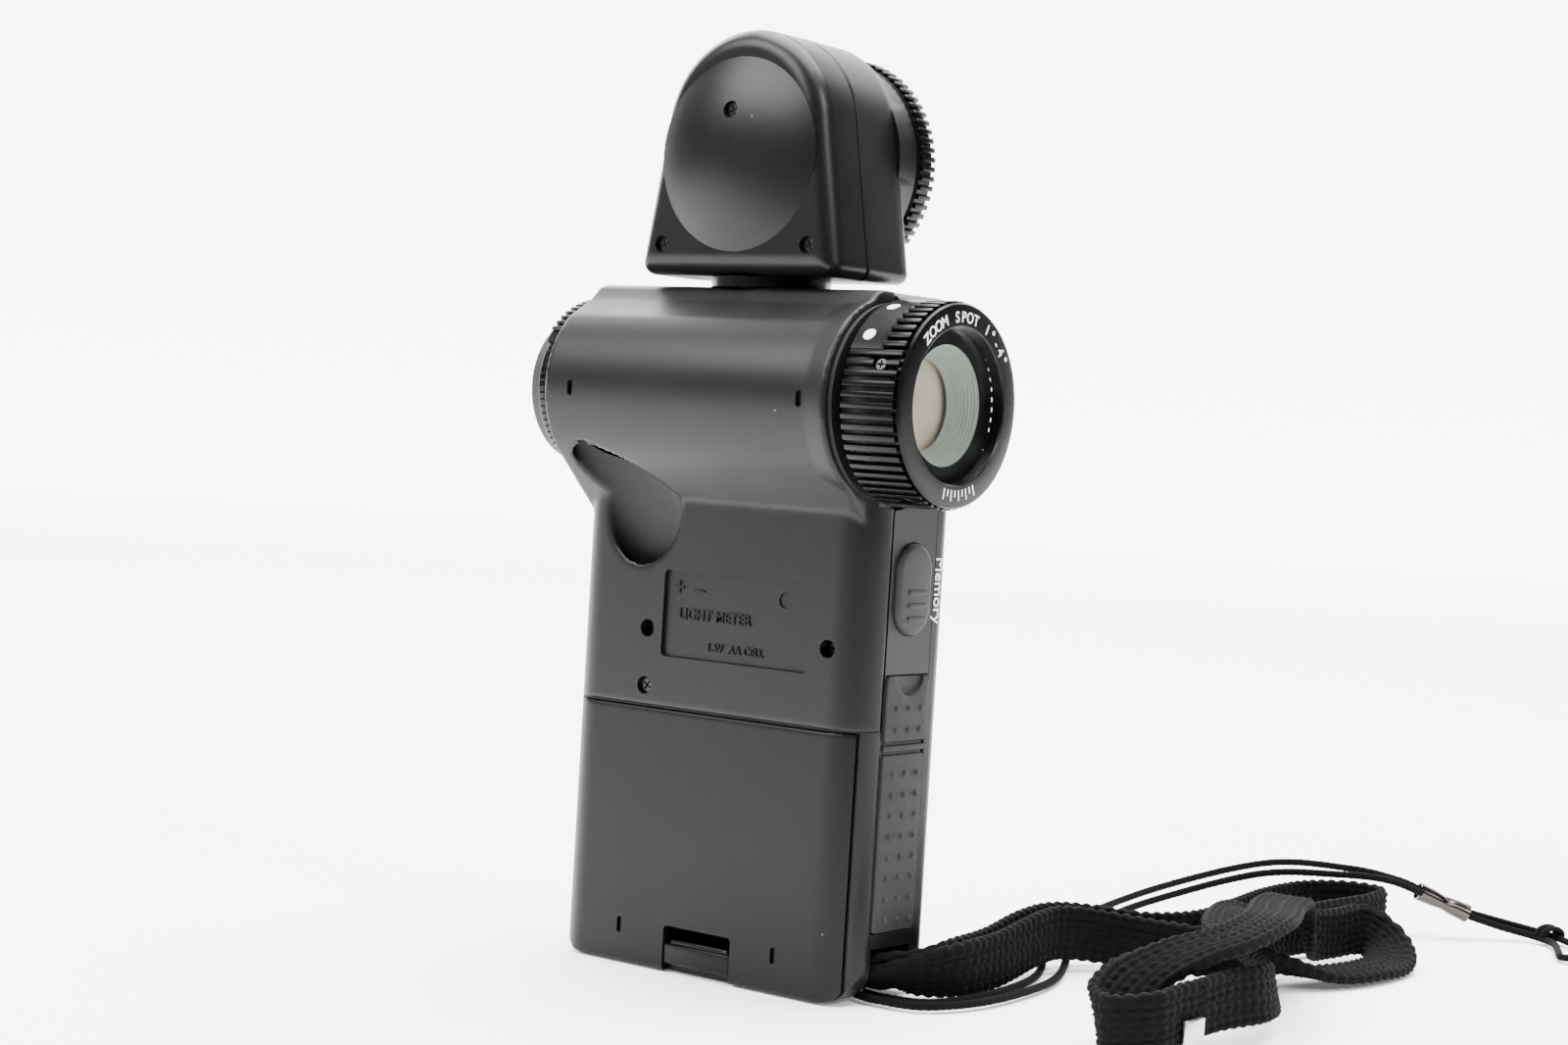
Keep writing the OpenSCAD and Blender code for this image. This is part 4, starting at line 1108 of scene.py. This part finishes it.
PLATE = (-10.5, 21.1, 53.7, 68.6)
WELLS = [(-13.8, 58.2), (25.1, 58.2), (-13.8, 48.3)]
combine(shell, turned("bore", [(-40, 0), (-40, 13.4), (40, 13.4), (40, 0)], round_tube, 64))
combine(shell, turned("ring_room", [(31.5, 0), (31.5, 17.3), (40, 17.3), (40, 0)], round_tube, 96))
combine(shell, prism("plate", round_rect(*PLATE, 0.9, 0.9), on_back, BACK - 2, BACK + 0.7))
combine(shell, prism("dimple", disc(1.35, 15.4, 65.3), on_back, BACK - 2, BACK + 1.0))
for x, z in WELLS:
    combine(shell, prism("well", disc(1.53, x, z), on_back, BACK - 2, BACK + 4))
for x in (-24.8, 24.7):
    combine(shell, prism("mark", stadium(1.15, 2.7, x, 98.7), on_back, BARREL_Y - BARREL_R - 3,
                         BARREL_Y - BARREL_R + 0.8))
smooth(shell, 38)
finish_with(shell, SHELL, "root", "moulded_black", "rear_housing")
print("back shell done, faces:", len(shell.data.polygons))


# %% Tray of the battery bay
def bay_tray():
    """The lower part of the same moulding, behind the battery door, straight from the frame."""
    made = bmesh.new()
    made.from_mesh(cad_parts["rear_housing"].data)
    bmesh.ops.remove_doubles(made, verts=made.verts, dist=0.00001)
    everything = made.verts[:] + made.edges[:] + made.faces[:]
    bmesh.ops.bisect_plane(made, geom=everything, plane_co=(0, 0, (DOOR_TOP + 0.3) * MM),
                           plane_no=(0, 0, 1), clear_outer=True)
    bmesh.ops.holes_fill(made, edges=[e for e in made.edges if e.is_boundary])
    mesh = bpy.data.meshes.new("bay_tray")
    made.to_mesh(mesh)
    made.free()
    return smooth(linked("bay_tray", mesh), 25)


finish_with(bay_tray(), SHELL, "root", "moulded_black", "rear_housing")
print("battery bay tray in place")

# %% [markdown]
# ## The battery door
# The door wraps round both upright edges of the body and hinges at its top seam. It is the same
# slab, with round lower corners and a softly rolled foot. Its latch sits in a recess at the foot.


# %% Battery door
def battery_door():
    """The cover of the battery bay, with room for its latch and two moulding marks."""
    door = prism("battery_door_cover", slab_outline(), flat_on_top, 0.0, DOOR_TOP)
    limit = prism("limit", round_rect(LEFT, RIGHT, 0, DOOR_TOP + 5, FOOT_R, 0.5), on_back,
                  BACK - 3, -8.95)
    combine(door, limit, "INTERSECT")
    remeshed(door, 0.42, 4)
    combine(door, block("hollow", (LEFT + 4, -9.8, 4), (RIGHT - 4, -5, DOOR_TOP - 3)))
    combine(door, prism("latch_room", round_rect(-6.2, 8.5, -3, 7.8, 0.3, 0.7), on_back,
                        BACK - 3, BACK + 1.7))
    for x in (-16.3, 17.6):
        combine(door, prism("mark", stadium(0.95, 2.8, x, 6.4), on_back, BACK - 2, BACK + 0.7))
    return smooth(door, 38)


def door_latch():
    """The sliding bar at the foot of the door, with the lip that holds it."""
    bar = block("door_latch", (-6.0, BACK + 0.15, 1.3), (8.3, BACK + 1.55, 4.75))
    lip = block("lip", (-5.2, BACK + 0.75, 4.0), (7.5, BACK + 1.5, 5.5))
    return smooth(soften(joined("door_latch_bar", [bar, lip]), 0.3, 3))


finish_with(battery_door(), SATIN_PAINTED_SHADE, "battery_door", "moulded_black", "battery_cover")
finish_with(door_latch(), RING, "latch", "moulded_black", "cover_latch")
print("door and latch made")

# %% [markdown]
# ## The head
# Seen from the back, the head is an arch: a circle on a wide foot. Its outline is found by asking,
# for every direction, which of three circles reaches furthest, which is what stretching a band
# round them would do. Rings of that outline, drawn in along a quarter circle, roll the edge over.


# %% Arch outline
TOP_CIRCLE = (0.0, 143.4, 17.4)
FOOT_CIRCLE = (19.3, 121.2, 2.0)


def arch(inset, steps=180):
    """The head's outline, drawn in by the inset."""
    x, z, r = FOOT_CIRCLE
    shift = max(0.0, inset - 1.2)
    circles = [(0.0, TOP_CIRCLE[1], TOP_CIRCLE[2] - inset)]
    circles += [(s * (x - shift), z + shift, max(0.8, r - inset)) for s in (-1, 1)]
    points = []
    for i in range(steps):
        a = 2 * math.pi * (i + 0.5) / steps
        c, s = math.cos(a), math.sin(a)
        cx, cz, cr = max(circles, key=lambda q: q[0] * c + q[1] * s + q[2])
        points.append((cx + cr * c, cz + cr * s))
    return points


def arch_solid(name, slices):
    """A skin over arch outlines, from (y, inset) slices."""
    rings = [[(x, y, z) for x, z in arch(inset)] for y, inset in slices]
    return long_skin(name, rings)


def rolled(y_edge, y_face, radius, steps=8):
    """Slices of a rolled edge, from the face inwards."""
    way = 1 if y_edge > y_face else -1
    turns = [math.radians(90 * i / steps) for i in range(steps + 1)]
    return [(y_face + way * radius * (1 - math.sin(t)), radius * (1 - math.cos(t))) for t in turns][::-1]


print("arch width:", round(max(x for x, z in arch(0)) * 2, 1), "mm")


# %% Head shells
BULGE_R, BULGE_H, BULGE_Z = 16.4, 3.3, 139.5
BULGE_FOOT = 130         # screws below this height sit on the flat, and the others on the bulge
HEAD_SCREWS = [(-15.7, 124.3, HEAD_BACK), (15.7, 124.3, HEAD_BACK), (0.0, 146.7, HEAD_BACK - 2.7)]


def head_back_shell():
    """The back half of the head, with its round bulge and three screw wells."""
    slices = sorted(rolled(HEAD_SEAM, HEAD_BACK, 3.6, 10))
    slices += [(HEAD_SEAM - 0.4, 0.0), (HEAD_SEAM - 0.1, 0.25), (HEAD_SEAM, 0.6)]
    solid = arch_solid("head_back_cover", slices)
    bend = (BULGE_R ** 2 + BULGE_H ** 2) / (2 * BULGE_H)
    cap = [(HEAD_BACK + 1.0, 0), (HEAD_BACK + 1.0, BULGE_R)]
    cap += [(HEAD_BACK - math.sqrt(bend ** 2 - q ** 2) + bend - BULGE_H, q)
            for q in (BULGE_R * i / 24 for i in range(24, -1, -1))]
    lift = BULGE_Z - DOME_Z
    dome = turned("bulge", cap, round_head, 128)
    dome.data.transform(Matrix.Translation((0, 0, lift * MM)))
    combine(solid, dome, "UNION")
    for x, z, y in HEAD_SCREWS:
        bottom = HEAD_BACK + (1.15 if z < BULGE_FOOT else -1.6)
        combine(solid, prism("well", disc(1.45, x, z), on_back, y - 2, bottom))
    return smooth(solid, 14)


def head_front_shell():
    """The front half of the head, with the collar and the open well of the dome."""
    slices = [(HEAD_SEAM + 0.15, 0.6), (HEAD_SEAM + 0.25, 0.25), (HEAD_SEAM + 0.55, 0.0),
              (HEAD_FRONT - 3.5, 0.1)]
    slices += [(HEAD_FRONT - 2.4 * (1 - math.sin(t)), 0.1 + 2.2 * (1 - math.cos(t)))
               for t in (math.radians(90 * i / 8) for i in range(1, 9))]
    solid = arch_solid("head_front_housing", slices)
    collar = turned("collar", [(9.5, 0), (9.5, 18.7), (14.4, 18.7), (14.9, 18.2), (14.9, 15.9),
                               (18.5, 15.9), (18.5, 0)], round_head, 128)
    combine(solid, collar, "UNION")
    combine(solid, turned("well", [(4.4, 0), (4.4, 14.6), (22, 14.6), (22, 0)], round_head, 128))
    return smooth(solid, 28)


finish_with(head_back_shell(), HEAD, "head", "moulded_black", "head_rear_shell")
finish_with(head_front_shell(), HEAD, "head", "moulded_black", "head_front_shell")
print("head shells made")


# %% Dome ring with its teeth
def dome_ring():
    """The ring round the dome, with its teeth."""
    profile = [(15.1, 16.1), (15.1, 18.2), (15.5, 18.7), (18.9, 18.7), (19.7, 17.9), (19.7, 13.2),
               (18.8, 13.2), (18.8, 16.1)]
    body = turned("dome_ring_body", profile, round_head, 144)
    tooth = rib("tooth", 15.5, 19.2, 18.7, 0.95, 0.7, 0.2)
    teeth = ring_of_ribs("teeth", tooth, 72, 0, 5, HEAD_MOVE, RING)
    return smooth(joined("dome_ring_knurled", [body, teeth]), 35)


finish_with(dome_ring(), RING, "dome_twist", "gloss_black", "dome_ring")
print("dome ring made")

# %% [markdown]
# ## The zoom ring and the name ring
# The ring has sixty grooves. On the plain stretch with the two white index dots the ribs are short.
# So the ring is a turned body at the depth of the grooves, a raised plain sector, and two rows of
# ribs that the node tree copies.

# %% Zoom ring
RING_R = 16.9
GROOVE_R = RING_R - 0.7
PLAIN_FROM, PLAIN_TO = 78, 150
RING_SCREW_X = 39.6
RING_SCREW_ANGLES = (69.4, 159.4, 249.4, 339.4)


def zoom_ring():
    """The knurled ring of the spot tube, with a plain stretch and four screw wells."""
    body = turned("body", [(31.8, 13.8), (31.8, RING_R - 0.3), (32.1, RING_R), (33.2, RING_R),
                           (33.45, GROOVE_R), (43.15, GROOVE_R), (43.3, RING_R - 0.15),
                           (43.6, RING_R - 0.45), (43.6, 14.7), (41.4, 14.7), (41.4, 13.8)],
                  round_tube, 180)
    sector = turned("sector", [(33.0, GROOVE_R - 0.3), (33.0, RING_R), (38.9, RING_R),
                               (39.2, RING_R - 0.3), (39.2, GROOVE_R - 0.3)],
                    round_tube, 60, PLAIN_FROM - 1, PLAIN_TO - PLAIN_FROM + 2)
    long_rib = rib("long_rib", 33.1, 43.4, GROOVE_R, 0.98, 0.7)
    short_rib = rib("short_rib", 38.6, 43.4, GROOVE_R, 0.98, 0.7)
    step = 6.0
    long_ribs = ring_of_ribs("long_ribs", long_rib, 48, PLAIN_TO + 3, step, BARREL_MOVE, RING)
    short_ribs = ring_of_ribs("short_ribs", short_rib, 12, PLAIN_FROM + 3, step, BARREL_MOVE, RING)
    ring = joined("zoom_ring_knurled", [body, sector, long_ribs, short_ribs])
    for angle in RING_SCREW_ANGLES:
        well = prism("well", disc(1.25, RING_SCREW_X, 0), flat_on_top, 15.6, 20)
        well.data.transform(BARREL_MOVE @ Matrix.Rotation(math.radians(angle - 90), 4, "X"))
        combine(ring, well)
    return smooth(ring, 35)


finish_with(zoom_ring(), RING, "zoom", "gloss_black", "zoom_ring")
print("zoom ring made")


# %% Index dots and ring screws
def index_dot(angle):
    """A filled white spot that follows the ring's curve."""
    radius, steps = 1.1, 36
    points = [(35.5, *on_barrel(angle, RING_R + 0.05))]
    for i in range(steps):
        a = 2 * math.pi * i / steps
        swing = math.degrees(radius * math.sin(a) / RING_R)
        points.append((35.5 + radius * math.cos(a), *on_barrel(angle + swing, RING_R + 0.03)))
    faces = [(0, i + 1, (i + 1) % steps + 1) for i in range(steps)]
    spot = mesh_object("index_dot", points, faces)
    thick = spot.modifiers.new("thick", "SOLIDIFY")
    thick.thickness = 0.06 * MM
    thick.offset = 0
    return bake(spot)


def round_upright(along, radius, angle):
    """A place round the Z axis."""
    a = math.radians(angle)
    return (radius * math.cos(a), radius * math.sin(a), along)


def cross_screw(radius, depth=0.55):
    """A small cross-head screw's head, looking along +Z."""
    head = turned("screw", [(-1.0, 0), (-1.0, radius), (-0.15, radius), (0.0, radius * 0.86),
                            (0.0, 0)], round_upright, 40)
    arm = radius * 0.66
    for wide, high in ((arm, 0.17), (0.17, arm)):
        combine(head, block("slot", (-wide, -high, -depth), (wide, high, 1)))
    return head


def ring_screws():
    """The four screws round the zoom ring."""
    screws = []
    for angle in RING_SCREW_ANGLES:
        screw = cross_screw(1.08)
        screw.data.transform(BARREL_MOVE @ Matrix.Rotation(math.radians(angle - 90), 4, "X")
                             @ Matrix.Translation(Vector((RING_SCREW_X, 0, 16.35)) * MM))
        screws.append(screw)
    return smooth(joined("ring_screw_heads", screws), 30)


finish_with(joined("index_dots", [index_dot(141.6), index_dot(115.2)]), PRINT, "zoom", "opal_plastic")
finish_with(ring_screws(), BLACK_STEEL, "zoom", "black_screw", "ring_screws")
print("index dots and ring screws made")


# %% Screws of the head and the back
def back_screws(name, places, radius):
    """Screws that look backwards, each turned to its own angle."""
    screws = []
    for x, z, y in places:
        screw = cross_screw(radius)
        screw.data.transform(Matrix.Translation(Vector((x, y, z)) * MM)
                             @ Matrix.Rotation(math.radians(90), 4, "X")
                             @ Matrix.Rotation(math.radians(20 + 17 * x), 4, "Z"))
        screws.append(screw)
    return smooth(joined(name, screws), 30)


head_places = [(x, z, HEAD_BACK + (1.0 if z < BULGE_FOOT else -1.75)) for x, z, _ in HEAD_SCREWS]
finish_with(back_screws("head_screw_heads", head_places, 1.3), BLACK_STEEL,
            "head", "black_screw", "head_screws")
case_places = [(x, z, BACK + (2.4 if z > 50 else 0.9)) for x, z in WELLS]
finish_with(back_screws("case_screw_heads", case_places, 1.35), BLACK_STEEL,
            "root", "steel", "case_screws")
print("screws made:", len(head_places) + len(case_places))


# %% Name ring and optics
def name_ring():
    """The flat front ring, with a rounded lip and a bevel down to the glass."""
    profile = [(41.6, 13.4), (41.6, 14.5), (43.75, 14.5), (43.75, 16.35), (44.0, 16.6), (44.35, 16.35),
               (44.5, 15.9), (44.5, 12.95), (44.3, 12.7), (43.6, 12.6), (42.5, 12.55), (42.5, 13.4)]
    return smooth(turned("front_name_ring", profile, round_tube, 160), 30)


def glass_disc(name, x0, x1, radius):
    """A flat window with bevelled rims."""
    return smooth(turned(name, [(x0, 0), (x0, radius - 0.2), (x0 + 0.15, radius), (x1 - 0.15, radius),
                                (x1, radius - 0.2), (x1, 0)], round_tube, 120), 30)


def stepped_baffle():
    """A funnel of fine steps, from the glass down to the lens."""
    steps = 9
    profile = [(36.4, 12.4), (41.2, 12.4)]
    for i in range(steps):
        profile += [(41.2 - i * 4.5 / steps, 9.9 - i * 2.3 / steps),
                    (41.2 - (i + 0.75) * 4.5 / steps, 9.9 - (i + 0.25) * 2.3 / steps)]
    profile += [(36.4, 7.5)]
    return smooth(turned("lens_funnel", profile, round_tube, 120), 25)


def lens(name, x, radius, rim, bend):
    """A lens with two equal curved faces."""
    top = math.sqrt(bend ** 2 - radius ** 2)
    side = [(q, math.sqrt(bend ** 2 - q ** 2) - top) for q in (radius * i / 16 for i in range(17))]
    profile = [(x - rim / 2 - s, q) for q, s in side]
    profile += [(x + rim / 2 + s, q) for q, s in reversed(side)]
    return smooth(turned(name, profile, round_tube, 96), 40)


finish_with(name_ring(), RING, "root", "gloss_black", "name_ring")
finish_with(glass_disc("front_window", 41.7, 42.4, 13.2), FRONT_GLASS,
            "root", "optical_glass", "front_glass")
finish_with(stepped_baffle(), BAFFLE_PAINTED_LIGHT, "root", "gloss_black", "lens_baffle")
mask = turned("lens_mask", [(41.22, 9.9), (41.22, 12.5), (41.4, 12.5), (41.4, 9.9)], round_tube, 120)
finish_with(smooth(mask), INSIDE, "root", "gloss_black")
finish_with(lens("objective", 33.6, 12.2, 1.6, 50), LENS_PAINTED_REFLECTION,
            "root", "optical_glass", "objective_lens")
print("front optics made")

# %% [markdown]
# ## Letters
# Only plain words that say what a part does are printed. Each letter is a text object turned into
# a mesh. On the name ring the letters stand one by one along a circle, with their feet inwards.


# %% Lettering helpers
def letter_mesh(text, size, depth=0.05, bold=0.0):
    """Text as a mesh."""
    data = bpy.data.curves.new("letters", "FONT")
    data.body = text
    data.size = size * MM
    data.extrude = depth * MM
    data.offset = bold * MM
    data.align_x = "CENTER"
    data.align_y = "CENTER"
    data.resolution_u = 6
    holder = linked("letters", data)
    bpy.context.view_layer.update()
    mesh = bpy.data.meshes.new_from_object(holder.evaluated_get(bpy.context.evaluated_depsgraph_get()))
    bpy.data.objects.remove(holder)
    return mesh


def text_piece(name, text, size, move, depth=0.05, bold=0.0):
    """Text as an object, moved to its place."""
    piece = linked(name, letter_mesh(text, size, depth, bold))
    piece.data.transform(move)
    return piece


def axes(right, up, place):
    """A matrix that writes along right, with up as the top of the letters."""
    r, u = Vector(right), Vector(up)
    return Matrix.Translation(Vector(place) * MM) @ Matrix((r, u, r.cross(u))).transposed().to_4x4()


def ring_text(words, middle, radius, size, pitch):
    """Letters one by one along a circle of the name ring."""
    letters = []
    for i, letter in enumerate(words):
        if letter == " ":
            continue
        angle = middle - (i - (len(words) - 1) / 2) * pitch
        a = math.radians(angle)
        up = (0, math.cos(a), math.sin(a))
        right = (0, math.sin(a), -math.cos(a))
        place = axes(right, up, (44.5, *on_barrel(angle, radius)))
        letters.append(text_piece("letter", letter, size, place, bold=0.02))
    return letters


def ring_ticks(middle, count, pitch):
    """Short and long ticks along a circle of the name ring."""
    ticks = []
    for i in range(count):
        bar = block("tick", (44.45, -0.14, 13.5), (44.55, 0.14, 15.3 if i % 2 == 0 else 14.6))
        angle = math.radians(middle + (i - (count - 1) / 2) * pitch - 90)
        bar.data.transform(BARREL_MOVE @ Matrix.Rotation(angle, 4, "X"))
        ticks.append(bar)
    return ticks


print("lettering ready")

# %% Printed words
front_words = ring_text("ZOOM SPOT 1°-4°", 84, 14.25, 2.5, 7.2) + ring_ticks(-85, 9, 4.2)
finish_with(joined("front_ring_print", front_words), PRINT, "root", "opal_plastic")
memory_place = axes((0, 0, -1), (0, 1, 0), (RIGHT + 0.02, 8.85, 68.3))
memory_word = text_piece("memory_print", "Memory", 3.3, memory_place, 0.05)
finish_with(memory_word, PRINT, "root", "opal_plastic")


def plate_words():
    """Raised words of the rating plate."""
    back_right, back_up = (1, 0, 0), (0, 0, 1)
    y = BACK + 0.6
    lines = [("LIGHT METER", 2.6, 0.5, 61.2), ("1.5V  AA CELL", 2.0, 5.3, 56.0), ("+", 4.4, -7.6, 65.6),
             ("–", 4.4, -3.2, 65.6)]
    return [text_piece("word", words, size, axes(back_right, back_up, (x, y, z)), 0.16, 0.03)
            for words, size, x, z in lines]


finish_with(joined("plate_relief", plate_words()), SATIN_PAINTED_SHADE, "root", "moulded_black")
print("words printed")

# %% [markdown]
# ## The grip, the flap and the side buttons
# The grip is a rubber pad let into the side, with rows of small domes. Above it a flap of the same
# rubber covers the sync terminal, with a notch for a thumbnail.

# %% Rubber grip and flap
GRIP_BACK, GRIP_FRONT = -4.3, 7.2


def stud():
    """One small dome."""
    made = bmesh.new()
    bmesh.ops.create_uvsphere(made, u_segments=14, v_segments=8, radius=0.55 * MM)
    mesh = bpy.data.meshes.new("stud")
    made.to_mesh(mesh)
    made.free()
    return linked("stud", mesh)


def studs(name, rows, low, high):
    """Three columns of small domes on the side, between two heights."""
    source = stud()
    middle = Vector((RIGHT + 0.42, 1.95, (low + high) / 2)) * MM
    move = Matrix.Translation(middle) @ Matrix(((0, 0, 1, 0), (1, 0, 0, 0), (0, 1, 0, 0), (0, 0, 0, 1)))
    made = grown(name, GRID, move, Stud=source, Columns=3, Rows=rows, Wide=6.9 * MM,
                 High=(high - low) * MM, Finish=RUBBER)
    bpy.data.objects.remove(source)
    return made


def grip_pad():
    """The rubber pad of the side, with a ridge at its top."""
    pad = prism("pad", round_rect(GRIP_BACK, GRIP_FRONT, 11.6, 41.1, 0.8, 0.5), on_side,
                RIGHT - 1.0, RIGHT + 0.45)
    soften(pad, 0.3, 3)
    web = block("web", (RIGHT - 1.0, GRIP_BACK + 0.3, 41.0), (RIGHT - 0.15, GRIP_FRONT - 0.3, 43.2))
    ridge = block("ridge", (RIGHT - 0.3, GRIP_BACK, 41.75), (RIGHT + 0.45, GRIP_FRONT, 42.65))
    soften(ridge, 0.25, 3)
    dots = studs("dots", 8, 13.55, 13.55 + 7 * 3.48)
    return smooth(joined("side_grip", [pad, web, ridge, dots]), 40)


def sync_flap():
    """The rubber flap over the sync terminal, with a notch for a thumbnail."""
    flap = prism("flap", round_rect(GRIP_BACK, GRIP_FRONT, 43.35, 54.2, 0.5, 0.9), on_side,
                 RIGHT - 1.0, RIGHT + 0.45)
    combine(flap, prism("notch", disc(3.8, 2.1, 54.6), on_side, RIGHT - 0.35, RIGHT + 3))
    soften(flap, 0.25, 3)
    return smooth(joined("sync_flap_cover", [flap, studs("dots", 2, 45.2, 48.75)]), 40)


finish_with(grip_pad(), RUBBER, "root", "soft_rubber", "grip_pad")
finish_with(sync_flap(), RUBBER, "flap", "soft_rubber", "sync_flap")
print("grip and flap made")


# %% Side buttons
def side_button(name, wide, high, z, inner, outer, sign, ribs):
    """A rubber button with a rolled edge, pushed out of the side."""
    layers = [(inner, -0.5), (inner + 0.9 * sign, -0.5), (inner + 0.91 * sign, 0.0)]
    layers += [(outer - sign * 0.9 * (1 - math.sin(t)), 0.9 * (1 - math.cos(t)))
               for t in (math.radians(90 * i / 6) for i in range(7))]
    rings = [[(x, y, q) for y, q in stadium(wide - 2 * inset, high - 2 * inset, BUTTON_Y, z, 24)]
             for x, inset in layers]
    parts = [long_skin(name, rings)]
    for rib_z in ribs:
        outline = [(a, b) for b, a in stadium(0.95, 5.2, rib_z, BUTTON_Y + 0.4)]
        bar = prism("bar", outline, on_side, outer - 0.35, outer + 0.28)
        parts.append(soften(bar, 0.2, 3, 50))
    return smooth(joined(name, parts), 35)


finish_with(side_button("memory_key_cap", 9.4, 15.4, 68.5, 28.9, 33.4, 1, (63.6, 65.8, 68.0)), BUTTON,
            "memory_key", "soft_rubber", "memory_button")
finish_with(side_button("measure_key_cap", 8.4, 14.4, 70, -27.9, -32.8, -1, ()), BUTTON,
            "measure_key", "soft_rubber", "measuring_button")
print("side buttons made")

# %% [markdown]
# ## The eyepiece
# The eyepiece ring has fine ribs all round and a raised coarse grip on top, so that a thumb finds
# it with the eye at the finder. A soft cup closes it.


# %% Eyepiece ring
def eyepiece_ring():
    """The eyepiece ring: fine ribs all round, and a raised coarse grip on top."""
    body = turned("body", [(-34.7, 11.85), (-34.7, 13.9), (-34.4, 14.1), (-31.7, 14.1), (-31.4, 13.9),
                           (-31.4, 11.85)], round_tube, 144)
    grip = turned("grip", [(-34.0, 13.8), (-34.0, 15.1), (-33.7, 15.4), (-31.9, 15.4), (-31.6, 15.1),
                           (-31.6, 13.8)], round_tube, 60, 52, 98)
    fine_rib = rib("fine_rib", -34.2, -31.9, 14.05, 0.55, 0.3, 0.12)
    fine = ring_of_ribs("fine", fine_rib, 52, 156, 5, BARREL_MOVE, RING)
    coarse_rib = rib("coarse_rib", -33.9, -31.7, 15.3, 0.85, 0.6, 0.2)
    coarse = ring_of_ribs("coarse", coarse_rib, 17, 54, 5.4, BARREL_MOVE, RING)
    return smooth(joined("eyepiece_ring_ribbed", [body, grip, fine, coarse]), 35)


finish_with(eyepiece_ring(), RING, "diopter", "gloss_black", "diopter_ring")
print("eyepiece ring made")

# %% [markdown]
# ## The display face
# The window shows a plain reading in segment-like figures, and the keys carry short function words.

# %% Figures and key words
face_right, face_up = (-1, 0, 0), (0, 0, 1)
figures = [("125", 11, 5.5, 66, 10.45), ("5.6", 11, 5.5, 52, 10.45), ("ISO 100", 4, 13.5, 73.5, 10.45),
           ("1/s", 4, -9, 66, 10.45), ("F", 5, -9, 52, 10.45)]
display = [text_piece("figure", words, size, axes(face_right, face_up, (x, y, z)), 0.03)
           for words, size, x, z, y in figures]
finish_with(joined("display_figures", display), INK, "root", "display")
KEY_X = (-18, -6, 6, 18)
labels = [text_piece("label", word, 2.3, axes(face_right, face_up, (x, 12.1, 33.4)), 0.03)
          for word, x in zip(("MODE", "ISO 1", "ISO 2", "CLEAR"), KEY_X)]
labels.append(text_piece("label", "OFF   ON", 2.3, axes(face_right, face_up, (0, 12.1, 18.9)), 0.03))
finish_with(joined("face_print", labels), PRINT, "root", "opal_plastic")
print("display face printed")

# %% [markdown]
# ## Pieces that keep their CAD shape
# Flat shells, shafts, lenses and boards are already right, so they only need their finish.

# %% Finishes of the CAD pieces
FINISHES = {
    "front_housing": SHELL, "mid_frame": SHELL, "battery_holder": INSIDE, "battery_cell": JACKET,
    "battery_spring": STEEL, "battery_contact": GOLD, "sync_socket": STEEL, "lens_mount": INSIDE,
    "zoom_carrier": INSIDE, "zoom_lens": WINDOW, "finder_prism": WINDOW, "spot_sensor": INSIDE,
    "eyepiece_tube": INSIDE, "eyecup": RUBBER, "eyepiece_lens": WINDOW, "head_neck": RING,
    "swivel_clip": STEEL, "dome": OPAL, "dome_carrier": INSIDE, "incident_sensor": GOLD,
    "lcd_window": WINDOW, "lcd_module": DISPLAY, "main_board": BOARD, "key_mat": RUBBER,
    "mode_key": BUTTON, "iso_one_key": BUTTON, "iso_two_key": BUTTON, "clear_key": BUTTON,
    "jog_wheel": RING, "jog_axle": STEEL, "power_switch": RING, "strap_bar": STEEL}
for name, material in FINISHES.items():
    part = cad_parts[name]
    part.data.materials.clear()
    part.data.materials.append(material)
print("CAD pieces finished:", len(FINISHES))
